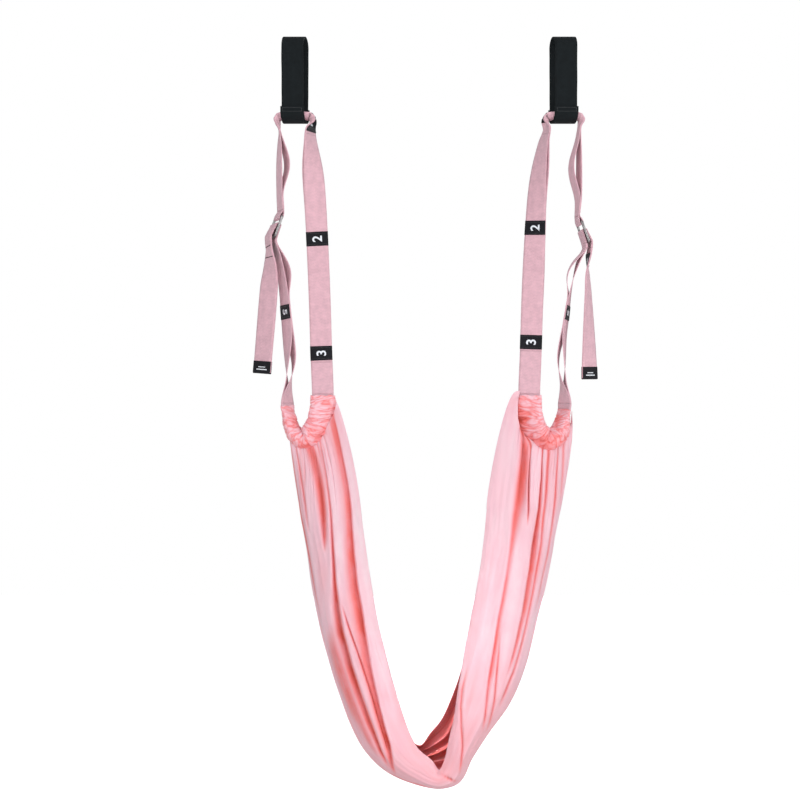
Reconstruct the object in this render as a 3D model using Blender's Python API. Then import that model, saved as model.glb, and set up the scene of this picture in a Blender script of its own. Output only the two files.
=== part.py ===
"""An aerial yoga strap: a hammock of knit cloth on two adjustable webs, each hung from a black anchor loop.

The origin is on the axis of the bar that the anchor loops hang over, midway between them.
X runs along that bar, -Y is the front and +Z is up. All sizes are in metres.
"""

from math import cos, pi, radians, sin

import bmesh
import bpy
from mathutils import Matrix, Vector

MM = 0.001

# Clearance that is left between pieces that touch on the real object
GAP = 0.3 * MM

# Anchor loops
ANCHOR_SPACING = 469 * MM
BAR_RADIUS = 16.5 * MM
ANCHOR_WIDTH = 38 * MM
ANCHOR_THICKNESS = 2.5 * MM
ANCHOR_DROP = 130 * MM
BIGHT_RADIUS = 15 * MM
ANCHOR_SKEW = 3 * MM
LAP_HEIGHT = 27 * MM
LAP_EXTRA_WIDTH = 3 * MM
ANCHOR_ARC_CELLS = 10

# Adjustable web: two layers, sewn together at each number label
WEB_WIDTH = 38 * MM
LAYER = 1.2 * MM
WEB_STACK = 2 * LAYER + GAP
SADDLE_BEND = 3 * MM
SADDLE_CELLS = 17
CURL_CELLS = 6
CURL_ENDS = (8 * MM, 16 * MM)
UPPER_BOW = 12 * MM
INNER_BOW = 4 * MM
LOWER_BOW = 9 * MM

# Number labels
LABEL_HEIGHT = 25 * MM
LABEL_THICKNESS = 0.5 * MM
LABEL_PITCH = 200 * MM
LAST_LABEL_PITCH = 212 * MM
FIRST_LABEL_AT = 34 * MM
LABEL_CLEARANCE = 0.6 * MM
LABEL_CELLS = 7
LABEL_CELL = LABEL_HEIGHT / LABEL_CELLS
JOIN_MARGIN = 8 * MM
TAIL_LABEL_HEIGHT = 20 * MM

# Three-bar buckle
BUCKLE_WIDTH = 50 * MM
BUCKLE_HEIGHT = 40 * MM
BUCKLE_THICKNESS = 4 * MM
BUCKLE_BAR = 5 * MM
BUCKLE_CORNER = 4 * MM
BUCKLE_EDGE = 0.7 * MM
BUCKLE_OUT = 269 * MM
BUCKLE_LEVEL = -313.5 * MM
BUCKLE_TILT = radians(20)
END_TURN_HEIGHT = 12 * MM
TAIL_HANG = 234 * MM
TAIL_MARGIN = 6 * MM

# Casing that the web runs through at each end of the cloth
CASING_WALL = 1.8 * MM
CASING_CLEARANCE = 1.2 * MM
CASING_SIDE = WEB_WIDTH / 2 + CASING_WALL / 2 + CASING_CLEARANCE
CASING_MOUTH = 11 * MM
CASING_BULGE = 20 * MM
INNER_MOUTH_LEVEL = -606 * MM
OUTER_MOUTH_LEVEL = -622 * MM
CASING_OUT = 213 * MM
CASING_HALF_SPAN = 31 * MM
CASING_BOTTOM = -687 * MM
CASING_LIFT = 6 * MM
CASING_INSET = 2 * MM

# Hammock cloth
CLOTH_THICKNESS = 2.4 * MM
CLOTH_BOTTOM = -1290 * MM
CLOTH_INNER_BOTTOM = -1214 * MM
PLEATS = 5
PLEAT_DEPTH = 0.12
HEM_ANGLE = radians(34)
CLOTH_HALF_DEPTH = 65 * MM
SEAM_INNER = 0.1
SEAM_OUTER = 0.8
SEAM_BLEND = 0.1
SEAM_CLEARANCE = 0.9 * MM
OPENS_OVER = 0.24
CLOTH_CELLS_ACROSS = 20

# Stretches of the cloth from left to right: their ends as shares of its length, and their cells along it
CLOTH_STRETCHES = {
    "cloth_left_arm": (0.0, 0.34, 10),
    "cloth_seat": (0.34, 0.66, 9),
    "cloth_right_arm": (0.66, 1.0, 10),
}

SIDES = {"left": -1, "right": 1}

# Pieces of each side that hang on the anchors, and pieces that rise and fall with the hammock
SLING_PIECES = [
    "buckle", "web_end_turn", "web_upper_face", "web_upper_back", "web_saddle", "label_1",
    "web_inner_face", "web_inner_back", "label_2", "label_3", "web_into_casing",
    "web_lower_face", "web_lower_back", "web_buckle_turn",
]
HAMMOCK_PIECES = ["casing", "web_in_casing", "label_4"]


def clear_scene():
    for obj in list(bpy.data.objects):
        bpy.data.objects.remove(obj, do_unlink=True)


def make_material(name, colour, roughness, metallic=0.0):
    material = bpy.data.materials.new(name)
    material.use_nodes = True
    shader = material.node_tree.nodes["Principled BSDF"]
    shader.inputs["Base Color"].default_value = (*colour, 1.0)
    shader.inputs["Roughness"].default_value = roughness
    shader.inputs["Metallic"].default_value = metallic
    return material


def add_object(name, mesh, material, smooth=True):
    mesh.materials.append(material)
    if smooth:
        mesh.shade_smooth()
        mesh.set_sharp_from_angle(angle=radians(40))
    obj = bpy.data.objects.new(name, mesh)
    bpy.context.scene.collection.objects.link(obj)
    return obj


def spline(rows):
    """A smooth curve through rows of numbers, as a function of a share from 0 to 1 of the length."""
    lengths = [0.0]
    for a, b in zip(rows, rows[1:]):
        step = sum((p - q) ** 2 for p, q in zip(a[:3], b[:3])) ** 0.5
        lengths.append(lengths[-1] + step)
    total = lengths[-1]

    def slope(i, c):
        low, high = max(i - 1, 0), min(i + 1, len(rows) - 1)
        return (rows[high][c] - rows[low][c]) / (lengths[high] - lengths[low])

    def value(share):
        at = min(max(share, 0.0), 1.0) * total
        i = 0
        while i < len(rows) - 2 and lengths[i + 1] < at:
            i += 1
        span = lengths[i + 1] - lengths[i]
        t = (at - lengths[i]) / span
        blend = (2 * t**3 - 3 * t**2 + 1, t**3 - 2 * t**2 + t, 3 * t**2 - 2 * t**3, t**3 - t**2)
        result = []
        for c in range(len(rows[0])):
            start, end = rows[i][c], rows[i + 1][c]
            result.append(
                blend[0] * start
                + blend[1] * span * slope(i, c)
                + blend[2] * end
                + blend[3] * span * slope(i + 1, c)
            )
        return result

    return value, total


def between(start, end, share):
    return start + (end - start) * share


def ease(share):
    """A smooth step from 0 to 1."""
    held = min(max(share, 0.0), 1.0)
    return held * held * (3 - 2 * held)


def sheet(name, surface, along, across, thickness, material, closed=False):
    """A band or cloth of even thickness, centred on surface(u, v), with u along it and v across it."""
    bm = bmesh.new()
    bmesh.ops.create_grid(bm, x_segments=along, y_segments=across, size=0.5)
    for vert in bm.verts:
        vert.co = surface(vert.co.x + 0.5, vert.co.y + 0.5)
    if closed:
        bmesh.ops.remove_doubles(bm, verts=bm.verts, dist=0.01 * MM)
    bmesh.ops.recalc_face_normals(bm, faces=bm.faces)
    bmesh.ops.triangulate(bm, faces=bm.faces)
    mesh = bpy.data.meshes.new(name)
    bm.to_mesh(mesh)
    bm.free()
    obj = add_object(name, mesh, material)
    wall = obj.modifiers.new("Thickness", "SOLIDIFY")
    wall.thickness = thickness
    wall.offset = 0.0
    return obj


def bight_axis_level():
    """Level of the axis that the bight is round, which the web rocks on as the sling swings."""
    return -ANCHOR_DROP + ANCHOR_THICKNESS + BIGHT_RADIUS


def anchor_profile():
    """The loop's path in the YZ plane, at its middle thickness, as a list of (y, z)."""
    middle = ANCHOR_THICKNESS / 2
    bight_level = bight_axis_level()
    points = []
    for i in range(ANCHOR_ARC_CELLS + 1):
        angle = pi * i / ANCHOR_ARC_CELLS
        points.append(((BAR_RADIUS + middle) * cos(angle), (BAR_RADIUS + middle) * sin(angle)))
    for i in range(ANCHOR_ARC_CELLS + 1):
        angle = pi + pi * i / ANCHOR_ARC_CELLS
        points.append(
            ((BIGHT_RADIUS + middle) * cos(angle), bight_level + (BIGHT_RADIUS + middle) * sin(angle))
        )
    return points


def skewed(side, out, y):
    """The loop hangs a little turned, so its rear leg lies nearer the middle than its front one."""
    return side * (out - ANCHOR_SKEW * y / BIGHT_RADIUS)


def build_anchor_loop(name, side, material):
    profile = anchor_profile()
    profile.append(profile[0])
    steps = len(profile) - 1

    def surface(u, v):
        y, z = profile[round(u * steps)]
        out = ANCHOR_SPACING / 2 + (v - 0.5) * ANCHOR_WIDTH
        return Vector((skewed(side, out, y), y, z))

    sheet(name, surface, steps, 2, ANCHOR_THICKNESS, material, closed=True)


def lap_radius():
    """Outer radius of the lap, about the bight's axis."""
    return BIGHT_RADIUS + 2 * ANCHOR_THICKNESS + GAP


def build_anchor_lap(name, side, material):
    """The end of the loop's web, folded under the bight and sewn to it front and back."""
    radius = lap_radius() - ANCHOR_THICKNESS / 2
    level = bight_axis_level()
    top = level - lap_radius() + LAP_HEIGHT
    profile = [(-radius, top)]
    for i in range(ANCHOR_ARC_CELLS + 1):
        angle = pi + pi * i / ANCHOR_ARC_CELLS
        profile.append((radius * cos(angle), level + radius * sin(angle)))
    profile.append((radius, top))
    steps = len(profile) - 1
    width = ANCHOR_WIDTH + LAP_EXTRA_WIDTH

    def surface(u, v):
        y, z = profile[round(u * steps)]
        out = ANCHOR_SPACING / 2 + (v - 0.5) * width
        return Vector((skewed(side, out, y), y, z))

    sheet(name, surface, steps, 2, ANCHOR_THICKNESS, material)


def buckle_frame(turn):
    """Centre and axes of the buckle, outward-positive: along its bars, up its height, and out of its face."""
    yaw = turn["buckle"]
    bars = Vector((-sin(yaw), cos(yaw), 0.0))
    level_out = Vector((cos(yaw), sin(yaw), 0.0))
    up = Vector((0, 0, 1)) * cos(BUCKLE_TILT) - level_out * sin(BUCKLE_TILT)
    face = level_out * cos(BUCKLE_TILT) + Vector((0, 0, 1)) * sin(BUCKLE_TILT)
    return Vector((BUCKLE_OUT, 0.0, BUCKLE_LEVEL - turn["buckle_drop"])), bars, up, face


def bar_height(index):
    """Height in the buckle of the middle of a bar: 1 is the top one, 0 the middle one, -1 the bottom one."""
    return index * (BUCKLE_HEIGHT - BUCKLE_BAR) / 2


def around_bar(pad, sign):
    """(height, off) points from the buckle's back to its face round one end of a bar, pad away from it."""
    radius = BUCKLE_EDGE + pad
    half_height = BUCKLE_BAR / 2 - BUCKLE_EDGE
    half_thickness = BUCKLE_THICKNESS / 2 - BUCKLE_EDGE
    points = []
    for side in (-1, 1):
        corner = []
        for i in range(4):
            angle = pi / 2 * i / 3
            height = sign * (half_height + radius * sin(angle))
            corner.append((height, side * (half_thickness + radius * cos(angle))))
        points += corner if side < 0 else reversed(corner)
    return points


class Route:
    """The web's way round one side: outer leg, anchor bight, inner leg, casing, outer leg, buckle, tail."""

    def __init__(self, side, turns):
        self.side = side
        self.turns = turns
        rows = self.rows()
        self.marks = {name: i for i, (name, _) in enumerate(rows) if name}
        self.points = [[*row] for _, row in rows]
        self.value, self.length = spline(self.points)
        self.at = [0.0]
        for a, b in zip(self.points, self.points[1:]):
            step = sum((p - q) ** 2 for p, q in zip(a[:3], b[:3])) ** 0.5
            self.at.append(self.at[-1] + step)

    def rows(self):
        turn = self.turns
        centre = ANCHOR_SPACING / 2
        saddle_level = -ANCHOR_DROP + ANCHOR_THICKNESS + GAP + WEB_STACK / 2
        lap_edge = (ANCHOR_WIDTH + LAP_EXTRA_WIDTH) / 2 + ANCHOR_SKEW * lap_radius() / BIGHT_RADIUS
        leg = lap_edge + 2 * GAP + WEB_STACK / 2
        bend = leg - SADDLE_BEND
        half_bend = SADDLE_BEND * (1 - cos(pi / 4))
        full = WEB_WIDTH / (BIGHT_RADIUS - GAP - WEB_STACK / 2)
        rows = []

        def add(out, z, angle, curl=0.0, y=0.0, name=None):
            rows.append((name, (out, y, z, angle, curl)))

        buckle, _, up, face = buckle_frame(turn)
        above_bar = buckle + up * (bar_height(1) + END_TURN_HEIGHT)
        add(above_bar.x, above_bar.z, turn["buckle"], name="top_bar")
        for share, turned in ((0.19, 1.0), (0.5, 1.0), (0.75, 0.7)):
            add(centre + leg, between(above_bar.z, saddle_level, share), turn["upper"] * turned)
        add(centre + leg, saddle_level - CURL_ENDS[1], turn["upper"] * 0.2, full * 0.1)
        add(centre + leg, saddle_level - CURL_ENDS[0], 0.0, full * 0.45)
        for sign in (1, -1):
            arch = [
                (leg, -SADDLE_BEND, 0.8),
                (leg - half_bend, -half_bend, 0.95),
                (bend, 0.0, 1.0),
            ]
            if sign < 0:
                add(centre, saddle_level, 0.0, full, name="bight")
                arch.reverse()
            for out, drop, share in arch:
                add(centre + sign * out, saddle_level + drop, 0.0, full * share)
        inner = centre - leg
        add(inner, saddle_level - CURL_ENDS[0], radians(6), full * 0.45)
        add(inner + turn["sway"] * 0.1, saddle_level - CURL_ENDS[1], turn["label_1"], full * 0.1)
        mouth = CASING_OUT + turn["sway"] - CASING_HALF_SPAN
        add(
            between(inner + turn["sway"] * 0.6, mouth, 0.13), between(saddle_level, INNER_MOUTH_LEVEL, 0.082),
            turn["label_1"] * 1.6,
        )
        inner += turn["sway"]
        way_down = ((0.42, 0.238), (0.62, 0.434), (0.79, 0.654), (0.9, 0.852))
        for (in_share, down), turned in zip(way_down, turn["inner"]):
            add(
                between(inner, mouth, in_share), between(saddle_level, INNER_MOUTH_LEVEL, down),
                radians(turned),
            )
        add(mouth, INNER_MOUTH_LEVEL, radians(84), name="inner_mouth")
        for angle, turned in ((20, 62), (50, 36), (90, 12), (130, 10), (160, 20)):
            a = radians(angle)
            level = between(INNER_MOUTH_LEVEL, CASING_BOTTOM, sin(a)) - CASING_LIFT * (angle > 120)
            add(CASING_OUT + turn["sway"] - CASING_HALF_SPAN * cos(a), level, radians(turned))
        mouth += 2 * CASING_HALF_SPAN
        add(mouth, OUTER_MOUTH_LEVEL, radians(28), name="outer_mouth")
        pass_by = BUCKLE_THICKNESS / 2 + GAP + WEB_STACK / 2
        entry = buckle + up * bar_height(-1) - face * pass_by
        leave = buckle + up * bar_height(-1) + face * pass_by
        mixed = (turn["label_5"] + turn["buckle"]) / 2
        for out, rise, turned, aside in (
            (-0.024, 0.144, 0.0, 0.0), (-0.04, 0.402, turn["label_5"], 0.0), (0.11, 0.554, turn["label_5"], 0.0),
            (0.366, 0.763, mixed, 0.5), (0.65, 0.88, turn["buckle"], 1.0),
        ):
            add(
                between(mouth, entry.x, out), between(OUTER_MOUTH_LEVEL, entry.z, rise),
                turned, y=entry.y * aside,
            )
        way = [
            (bar_height(-1) - 9 * MM, -pass_by - 2.5 * MM, None),
            (bar_height(-1) - 1 * MM, -pass_by - 0.8 * MM, "buckle_in"),
            (bar_height(-1) / 2, -pass_by - 0.4 * MM, None),
            (-2 * MM, -pass_by - 0.2 * MM, None),
        ]
        way += [(*point, None) for point in around_bar(GAP + WEB_STACK / 2 + 0.3 * MM, 1)]
        way += [
            (-2 * MM, pass_by + 0.4 * MM, None),
            (bar_height(-1) / 2, pass_by + 1.6 * MM, None),
            (bar_height(-1) * 0.92, pass_by + 2.4 * MM, None),
            (bar_height(-1) * 1.12, pass_by + 2.6 * MM, None),
        ]
        for height, off, name in way:
            point = buckle + up * height + face * off
            rows.append((name, (point.x, point.y, point.z, turn["buckle"], 0.0)))
        tail_out = leave.x + 2.9 * MM
        tail_level = leave.z - 11.3 * MM
        add(tail_out, tail_level, turn["buckle"], y=leave.y, name="tail_top")
        for (out, turned), down in zip(turn["tail"], (0.06, 0.192, 0.342, 0.889, 1.0)):
            add(tail_out + out * MM, tail_level - TAIL_HANG * down, radians(turned), y=leave.y)
        return rows

    def place(self, name):
        """Distance along the route of a named row."""
        return self.at[self.marks[name]]

    def label_at(self, number):
        at = self.place("bight") + FIRST_LABEL_AT + (number - 1) * LABEL_PITCH
        at += (LAST_LABEL_PITCH - LABEL_PITCH) * (number == 6)
        return at - LABEL_CELL * self.turns["label_lift"] * (number <= 3)

    def frame(self, s):
        """Centre, across, tangent, face direction and curl of the web at distance s, outward-positive."""
        step = 0.5 * MM
        out, y, z, angle, curl = self.value(s / self.length)
        before = self.value((s - step) / self.length)
        after = self.value((s + step) / self.length)
        tangent = (Vector(after[:3]) - Vector(before[:3])).normalized()
        across = Vector((-sin(angle), cos(angle), 0.0))
        across = (across - tangent * across.dot(tangent)).normalized()
        return Vector((out, y, z)), across, tangent, across.cross(tangent), curl

    def middle(self, s, v):
        """A point half way through the web, at share v of its width, outward-positive."""
        centre, across, _, face, curl = self.frame(s)
        if curl < 0.01:
            return centre + across * (v - 0.5) * WEB_WIDTH
        radius = WEB_WIDTH / curl
        angle = (v - 0.5) * WEB_WIDTH / radius
        return centre + across * radius * sin(angle) + face * radius * (1 - cos(angle))

    def point(self, s, v, offset=0.0):
        """The same, in the part's own frame, and offset square to the web towards its labelled face."""
        place = self.middle(s, v)
        if offset:
            step = 0.5 * MM
            along = self.middle(s + step, v) - self.middle(s - step, v)
            over = self.middle(s, v + 0.01) - self.middle(s, v - 0.01)
            place += over.cross(along).normalized() * offset
        return Vector((self.side * place.x, place.y, place.z))


def bow(s, spans):
    """How far two layers stand apart at distance s, as a share of the most, in the spans between their joins."""
    for low, high in spans:
        if low <= s <= high:
            return sin(pi * (s - low) / (high - low)) ** 2
    return 0.0


def build_layers(prefix, name, route, start, end, spans, bows, cells, material):
    """Two layers of web, one on each side of the route, which bow apart in the spans between their joins."""
    middle = (GAP + LAYER) / 2
    for layer, sign, depth in (("face", 1, bows[0]), ("back", -1, bows[1])):
        def surface(u, v, sign=sign, depth=depth):
            s = start + (end - start) * u
            return route.point(s, v, sign * (middle + depth * bow(s, spans)))

        sheet(f"{prefix}_{name}_{layer}", surface, cells, 2, LAYER, material)


def build_doubled(name, route, start, end, along, across, material):
    """Both layers of web as one piece, where they are sewn or pressed together."""
    def surface(u, v):
        return route.point(start + (end - start) * u, v)

    sheet(name, surface, along, across, WEB_STACK, material)


def build_label(name, route, at, material, along=3, across=2):
    offset = WEB_STACK / 2 + LABEL_CLEARANCE + LABEL_THICKNESS / 2

    def surface(u, v):
        return route.point(at + (u - 0.5) * LABEL_HEIGHT, v, offset)

    sheet(name, surface, along, across, LABEL_THICKNESS, material)


def build_tail_label(name, route, end, material):
    """A label folded over the tail's end, with a leg on each face."""
    reach = WEB_STACK / 2 + GAP + LABEL_THICKNESS / 2
    start = end - TAIL_LABEL_HEIGHT
    turn = [(start, -reach), (end - 2 * MM, -reach), (end + GAP, -reach), (end + GAP + reach, -reach / 2)]
    turn += [(s, -offset) for s, offset in reversed(turn)]
    steps = len(turn) - 1

    def surface(u, v):
        s, offset = turn[round(u * steps)]
        return route.point(s, v, offset)

    sheet(name, surface, steps, 2, LABEL_THICKNESS, material)


def build_end_turn(name, route, material):
    """The web's end, folded round the buckle's top bar so that both of its layers run up from it."""
    centre_point, bars, up, face = buckle_frame(route.turns)
    centre = centre_point + up * bar_height(1)
    middle = (GAP + LAYER) / 2
    start = route.place("top_bar")
    pad = GAP + LAYER / 2
    shoulder = (BUCKLE_BAR / 2 + pad, BUCKLE_THICKNESS / 2 + pad)
    profile = [(shoulder[0], -shoulder[1]), *around_bar(pad, -1), shoulder]
    path = [centre + up * height + face * off for height, off in profile]
    above, _, _, outward, _ = route.frame(start)
    path = [above - outward * middle, *path, above + outward * middle]
    steps = len(path) - 1

    def surface(u, v):
        point = path[round(u * steps)] + bars * (v - 0.5) * WEB_WIDTH
        return Vector((route.side * point.x, point.y, point.z))

    sheet(name, surface, steps, 2, LAYER, material)


def rounded_outline(bm, width, height, radius, segments=4):
    """Edges of a rectangle with round corners, in the XY plane about the origin."""
    verts = []
    for turn, (sx, sy) in enumerate(((1, 1), (-1, 1), (-1, -1), (1, -1))):
        for i in range(segments + 1):
            angle = pi / 2 * (turn + i / segments)
            x = sx * (width / 2 - radius) + radius * cos(angle)
            y = sy * (height / 2 - radius) + radius * sin(angle)
            verts.append(bm.verts.new((x, y, 0.0)))
    edges = []
    for a, b in zip(verts, verts[1:] + verts[:1]):
        edges.append(bm.edges.new((a, b)))
    return verts, edges


def build_buckle(name, side, turn, material):
    """A three-bar slide: a flat frame with two slots, which leave a bar at the top, the middle and the bottom."""
    slot_height = (BUCKLE_HEIGHT - 3 * BUCKLE_BAR) / 2
    slot_width = BUCKLE_WIDTH - 2 * BUCKLE_BAR
    bm = bmesh.new()
    _, edges = rounded_outline(bm, BUCKLE_WIDTH, BUCKLE_HEIGHT, BUCKLE_CORNER)
    for sign in (-1, 1):
        verts, slot = rounded_outline(bm, slot_width, slot_height, 1.0 * MM, 2)
        shift = sign * (slot_height + BUCKLE_BAR) / 2
        bmesh.ops.translate(bm, verts=verts, vec=(0.0, shift, 0.0))
        edges += slot
    filled = bmesh.ops.triangle_fill(bm, edges=edges, use_beauty=True)
    faces = [part for part in filled["geom"] if isinstance(part, bmesh.types.BMFace)]
    raised = bmesh.ops.extrude_face_region(bm, geom=faces)
    top = [part for part in raised["geom"] if isinstance(part, bmesh.types.BMVert)]
    bmesh.ops.translate(bm, verts=top, vec=(0.0, 0.0, BUCKLE_THICKNESS))
    bmesh.ops.translate(bm, verts=bm.verts, vec=(0.0, 0.0, -BUCKLE_THICKNESS / 2))
    centre, bars, up, face = buckle_frame(turn)
    for vert in bm.verts:
        place = centre + bars * vert.co.x + up * vert.co.y + face * vert.co.z
        vert.co = (side * place.x, place.y, place.z)
    bmesh.ops.recalc_face_normals(bm, faces=bm.faces)
    if bm.calc_volume(signed=True) < 0:
        bmesh.ops.reverse_faces(bm, faces=bm.faces)
    mesh = bpy.data.meshes.new(name)
    bm.to_mesh(mesh)
    bm.free()
    obj = add_object(name, mesh, material)
    edge = obj.modifiers.new("Rounded edges", "BEVEL")
    edge.width = BUCKLE_EDGE
    edge.segments = 2
    edge.limit_method = "ANGLE"
    edge.angle_limit = radians(60)


def casing_ends(route):
    return route.place("inner_mouth") + CASING_INSET, route.place("outer_mouth") - CASING_INSET


def casing_thick(share):
    """Half thickness of the casing, from its inner mouth at share 0 to its outer mouth at 1."""
    return CASING_MOUTH + (CASING_BULGE - CASING_MOUTH) * sin(pi * share) ** 0.8


def build_casing(name, route, material):
    """The sleeve of gathered cloth round the web, thick where the cloth bunches at its bottom."""
    start, end = casing_ends(route)

    def surface(u, v):
        centre, across, _, face, _ = route.frame(start + (end - start) * u)
        angle = 2 * pi * v
        point = centre + across * CASING_SIDE * cos(angle) + face * casing_thick(u) * sin(angle)
        return Vector((route.side * point.x, point.y, point.z))

    sheet(name, surface, 14, 14, CASING_WALL, material, closed=True)


def cloth_seam(route, v):
    """Where the cloth leaves the casing: its front hem near the inner mouth, its rear hem near the outer one."""
    start, end = casing_ends(route)
    share = between(SEAM_INNER, SEAM_OUTER, v)
    centre, across, tangent, face, _ = route.frame(between(start, end, share))
    away = Vector((tangent.z, 0.0, -tangent.x)).normalized()
    wide = away.dot(across) / CASING_SIDE
    thick = away.dot(face) / casing_thick(share)
    reach = (wide**2 + thick**2) ** -0.5 + CASING_WALL / 2 + SEAM_CLEARANCE + CLOTH_THICKNESS / 2
    point = centre + away * reach
    return Vector((route.side * point.x, point.y, point.z))


def cloth_outline():
    """Rows of (outer out, outer z, inner out, inner z, half depth) down one arm of the hanging cloth."""
    shares = [
        (1.150, 0.091, 0.648, 0.025, 0.46),
        (1.032, 0.237, 0.546, 0.237, 0.65),
        (0.954, 0.368, 0.486, 0.404, 0.74),
        (0.880, 0.494, 0.417, 0.571, 0.80),
        (0.792, 0.629, 0.329, 0.736, 0.86),
        (0.676, 0.768, 0.231, 0.863, 0.92),
        (0.500, 0.894, 0.148, 0.941, 0.97),
        (0.269, 0.970, 0.074, 0.985, 1.00),
    ]
    rows = []
    for outer, outer_down, inner, inner_down, depth in shares:
        outer_level = between(CASING_BOTTOM, CLOTH_BOTTOM, outer_down)
        inner_level = between(CASING_BOTTOM, CLOTH_INNER_BOTTOM, inner_down)
        rows.append(
            (outer * CASING_OUT, outer_level, inner * CASING_OUT, inner_level, depth * CLOTH_HALF_DEPTH)
        )
    return rows


def build_cloth(routes, material):
    """The hammock: a trough of pleated cloth, gathered to each casing and open along the top."""
    arm = cloth_outline()
    left = [(-outer, outer_z, -inner, inner_z, depth) for outer, outer_z, inner, inner_z, depth in arm]
    bottom = (0.0, CLOTH_BOTTOM, 0.0, CLOTH_INNER_BOTTOM, CLOTH_HALF_DEPTH)
    rows = []
    for outer_x, outer_z, inner_x, inner_z, depth in [*left, bottom, *reversed(arm)]:
        middle = ((outer_x + inner_x) / 2, 0.0, (outer_z + inner_z) / 2)
        rows.append((*middle, (inner_x - outer_x) / 2, (inner_z - outer_z) / 2, depth))
    value, length = spline(rows)

    def hung(u, v):
        x, _, z, half_x, half_z, depth = value(u)
        near_end = min(u, 1 - u)
        # The rear hem starts at the casing's outer side and swings round the back on its way down
        rear_hem = between(1.1 * pi, 2 * pi - HEM_ANGLE, ease(near_end / OPENS_OVER))
        angle = between(HEM_ANGLE, rear_hem, v)
        share = 1 + PLEAT_DEPTH * cos(2 * pi * PLEATS * v) - PLEAT_DEPTH / 2
        reach = cos(angle) * share
        point = Vector((x + half_x * reach, -depth * sin(angle) * share, z + half_z * reach))
        if near_end >= SEAM_BLEND:
            return point
        seam = cloth_seam(routes["left" if u < 0.5 else "right"], v)
        return seam.lerp(point, ease(near_end / SEAM_BLEND))

    for name, (start, end, cells) in CLOTH_STRETCHES.items():
        start += GAP / 2 / length * (start > 0)
        end -= GAP / 2 / length * (end < 1)

        def surface(u, v, start=start, end=end):
            return hung(between(start, end, u), v)

        sheet(name, surface, cells, CLOTH_CELLS_ACROSS, CLOTH_THICKNESS, material)


def build_side(prefix, side, turns, materials):
    route = Route(side, turns)
    build_anchor_loop(f"{prefix}_anchor_loop", side, materials["black web"])
    build_anchor_lap(f"{prefix}_anchor_lap", side, materials["black web"])
    build_buckle(f"{prefix}_buckle", side, turns, materials["buckle"])
    build_end_turn(f"{prefix}_web_end_turn", route, materials["web"])
    lift = turns["label_lift"]
    saddle_start = route.label_at(1) - LABEL_HEIGHT / 2 - (SADDLE_CELLS - lift) * LABEL_CELL
    saddle_end = route.label_at(1) + LABEL_HEIGHT / 2 + (1 + lift) * LABEL_CELL
    build_layers(
        prefix, "web_upper", route, 2 * GAP, saddle_start - GAP,
        [(22 * MM, saddle_start - 6 * MM)], (0.5 * MM, UPPER_BOW), 14, materials["web"],
    )
    # The first label lies on the curled web, so both have the same rows of cells there
    cells = SADDLE_CELLS + LABEL_CELLS + 1
    name = f"{prefix}_web_saddle"
    build_doubled(name, route, saddle_start, saddle_end, cells, CURL_CELLS, materials["web"])
    name = f"{prefix}_label_1"
    build_label(name, route, route.label_at(1), materials["label"], LABEL_CELLS, CURL_CELLS)
    third = route.label_at(3) + LABEL_HEIGHT / 2 + 3 * MM
    margin = LABEL_HEIGHT / 2 + JOIN_MARGIN
    spans = [(route.label_at(n) + margin, route.label_at(n + 1) - margin) for n in (1, 2)]
    build_layers(
        prefix, "web_inner", route, saddle_end + GAP, third,
        spans, (0.6 * MM, INNER_BOW), 24, materials["web"],
    )
    for number in (2, 3):
        build_label(f"{prefix}_label_{number}", route, route.label_at(number), materials["label"])
    mouth_in = route.place("inner_mouth")
    mouth_out = route.place("outer_mouth")
    build_doubled(f"{prefix}_web_into_casing", route, third + GAP, mouth_in - GAP, 6, 2, materials["web"])
    build_doubled(f"{prefix}_web_in_casing", route, mouth_in, mouth_out, 16, 2, materials["web"])
    build_label(f"{prefix}_label_4", route, route.label_at(4), materials["label"])
    build_casing(f"{prefix}_casing", route, materials["cloth"])
    fifth = route.label_at(5)
    buckle_in = route.place("buckle_in")
    build_layers(
        prefix, "web_lower", route, mouth_out + 2 * GAP, buckle_in - GAP,
        [(mouth_out + 6 * MM, fifth - margin), (fifth + margin, buckle_in - 12 * MM)],
        (1 * MM, LOWER_BOW), 22, materials["web"],
    )
    build_label(f"{prefix}_label_5", route, fifth, materials["label"])
    tail_top = route.place("tail_top")
    build_doubled(f"{prefix}_web_buckle_turn", route, buckle_in, tail_top, 40, 2, materials["web"])
    tail_end = route.length - TAIL_MARGIN
    build_doubled(f"{prefix}_web_tail", route, tail_top + GAP, tail_end, 42, 2, materials["web"])
    build_label(f"{prefix}_label_6", route, route.label_at(6), materials["label"], LABEL_CELLS)
    build_tail_label(f"{prefix}_tail_label", route, tail_end, materials["label"])
    return route


def make_pivot(name, place, parent=None):
    """An empty on a joint's axis. The pieces that the joint moves are its children."""
    pivot = bpy.data.objects.new(name, None)
    pivot.empty_display_size = 20 * MM
    pivot.location = place
    pivot["place"] = tuple(place)
    if parent:
        pivot.parent = parent
        pivot.location = place - Vector(parent["place"])
    bpy.context.scene.collection.objects.link(pivot)
    return pivot


def hang(names, pivot):
    """Parents pieces to a pivot, without moving them."""
    to_pivot = Matrix.Translation(-Vector(pivot["place"]))
    for name in names:
        piece = bpy.data.objects[name]
        piece.data.transform(to_pivot)
        piece.parent = pivot


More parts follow.
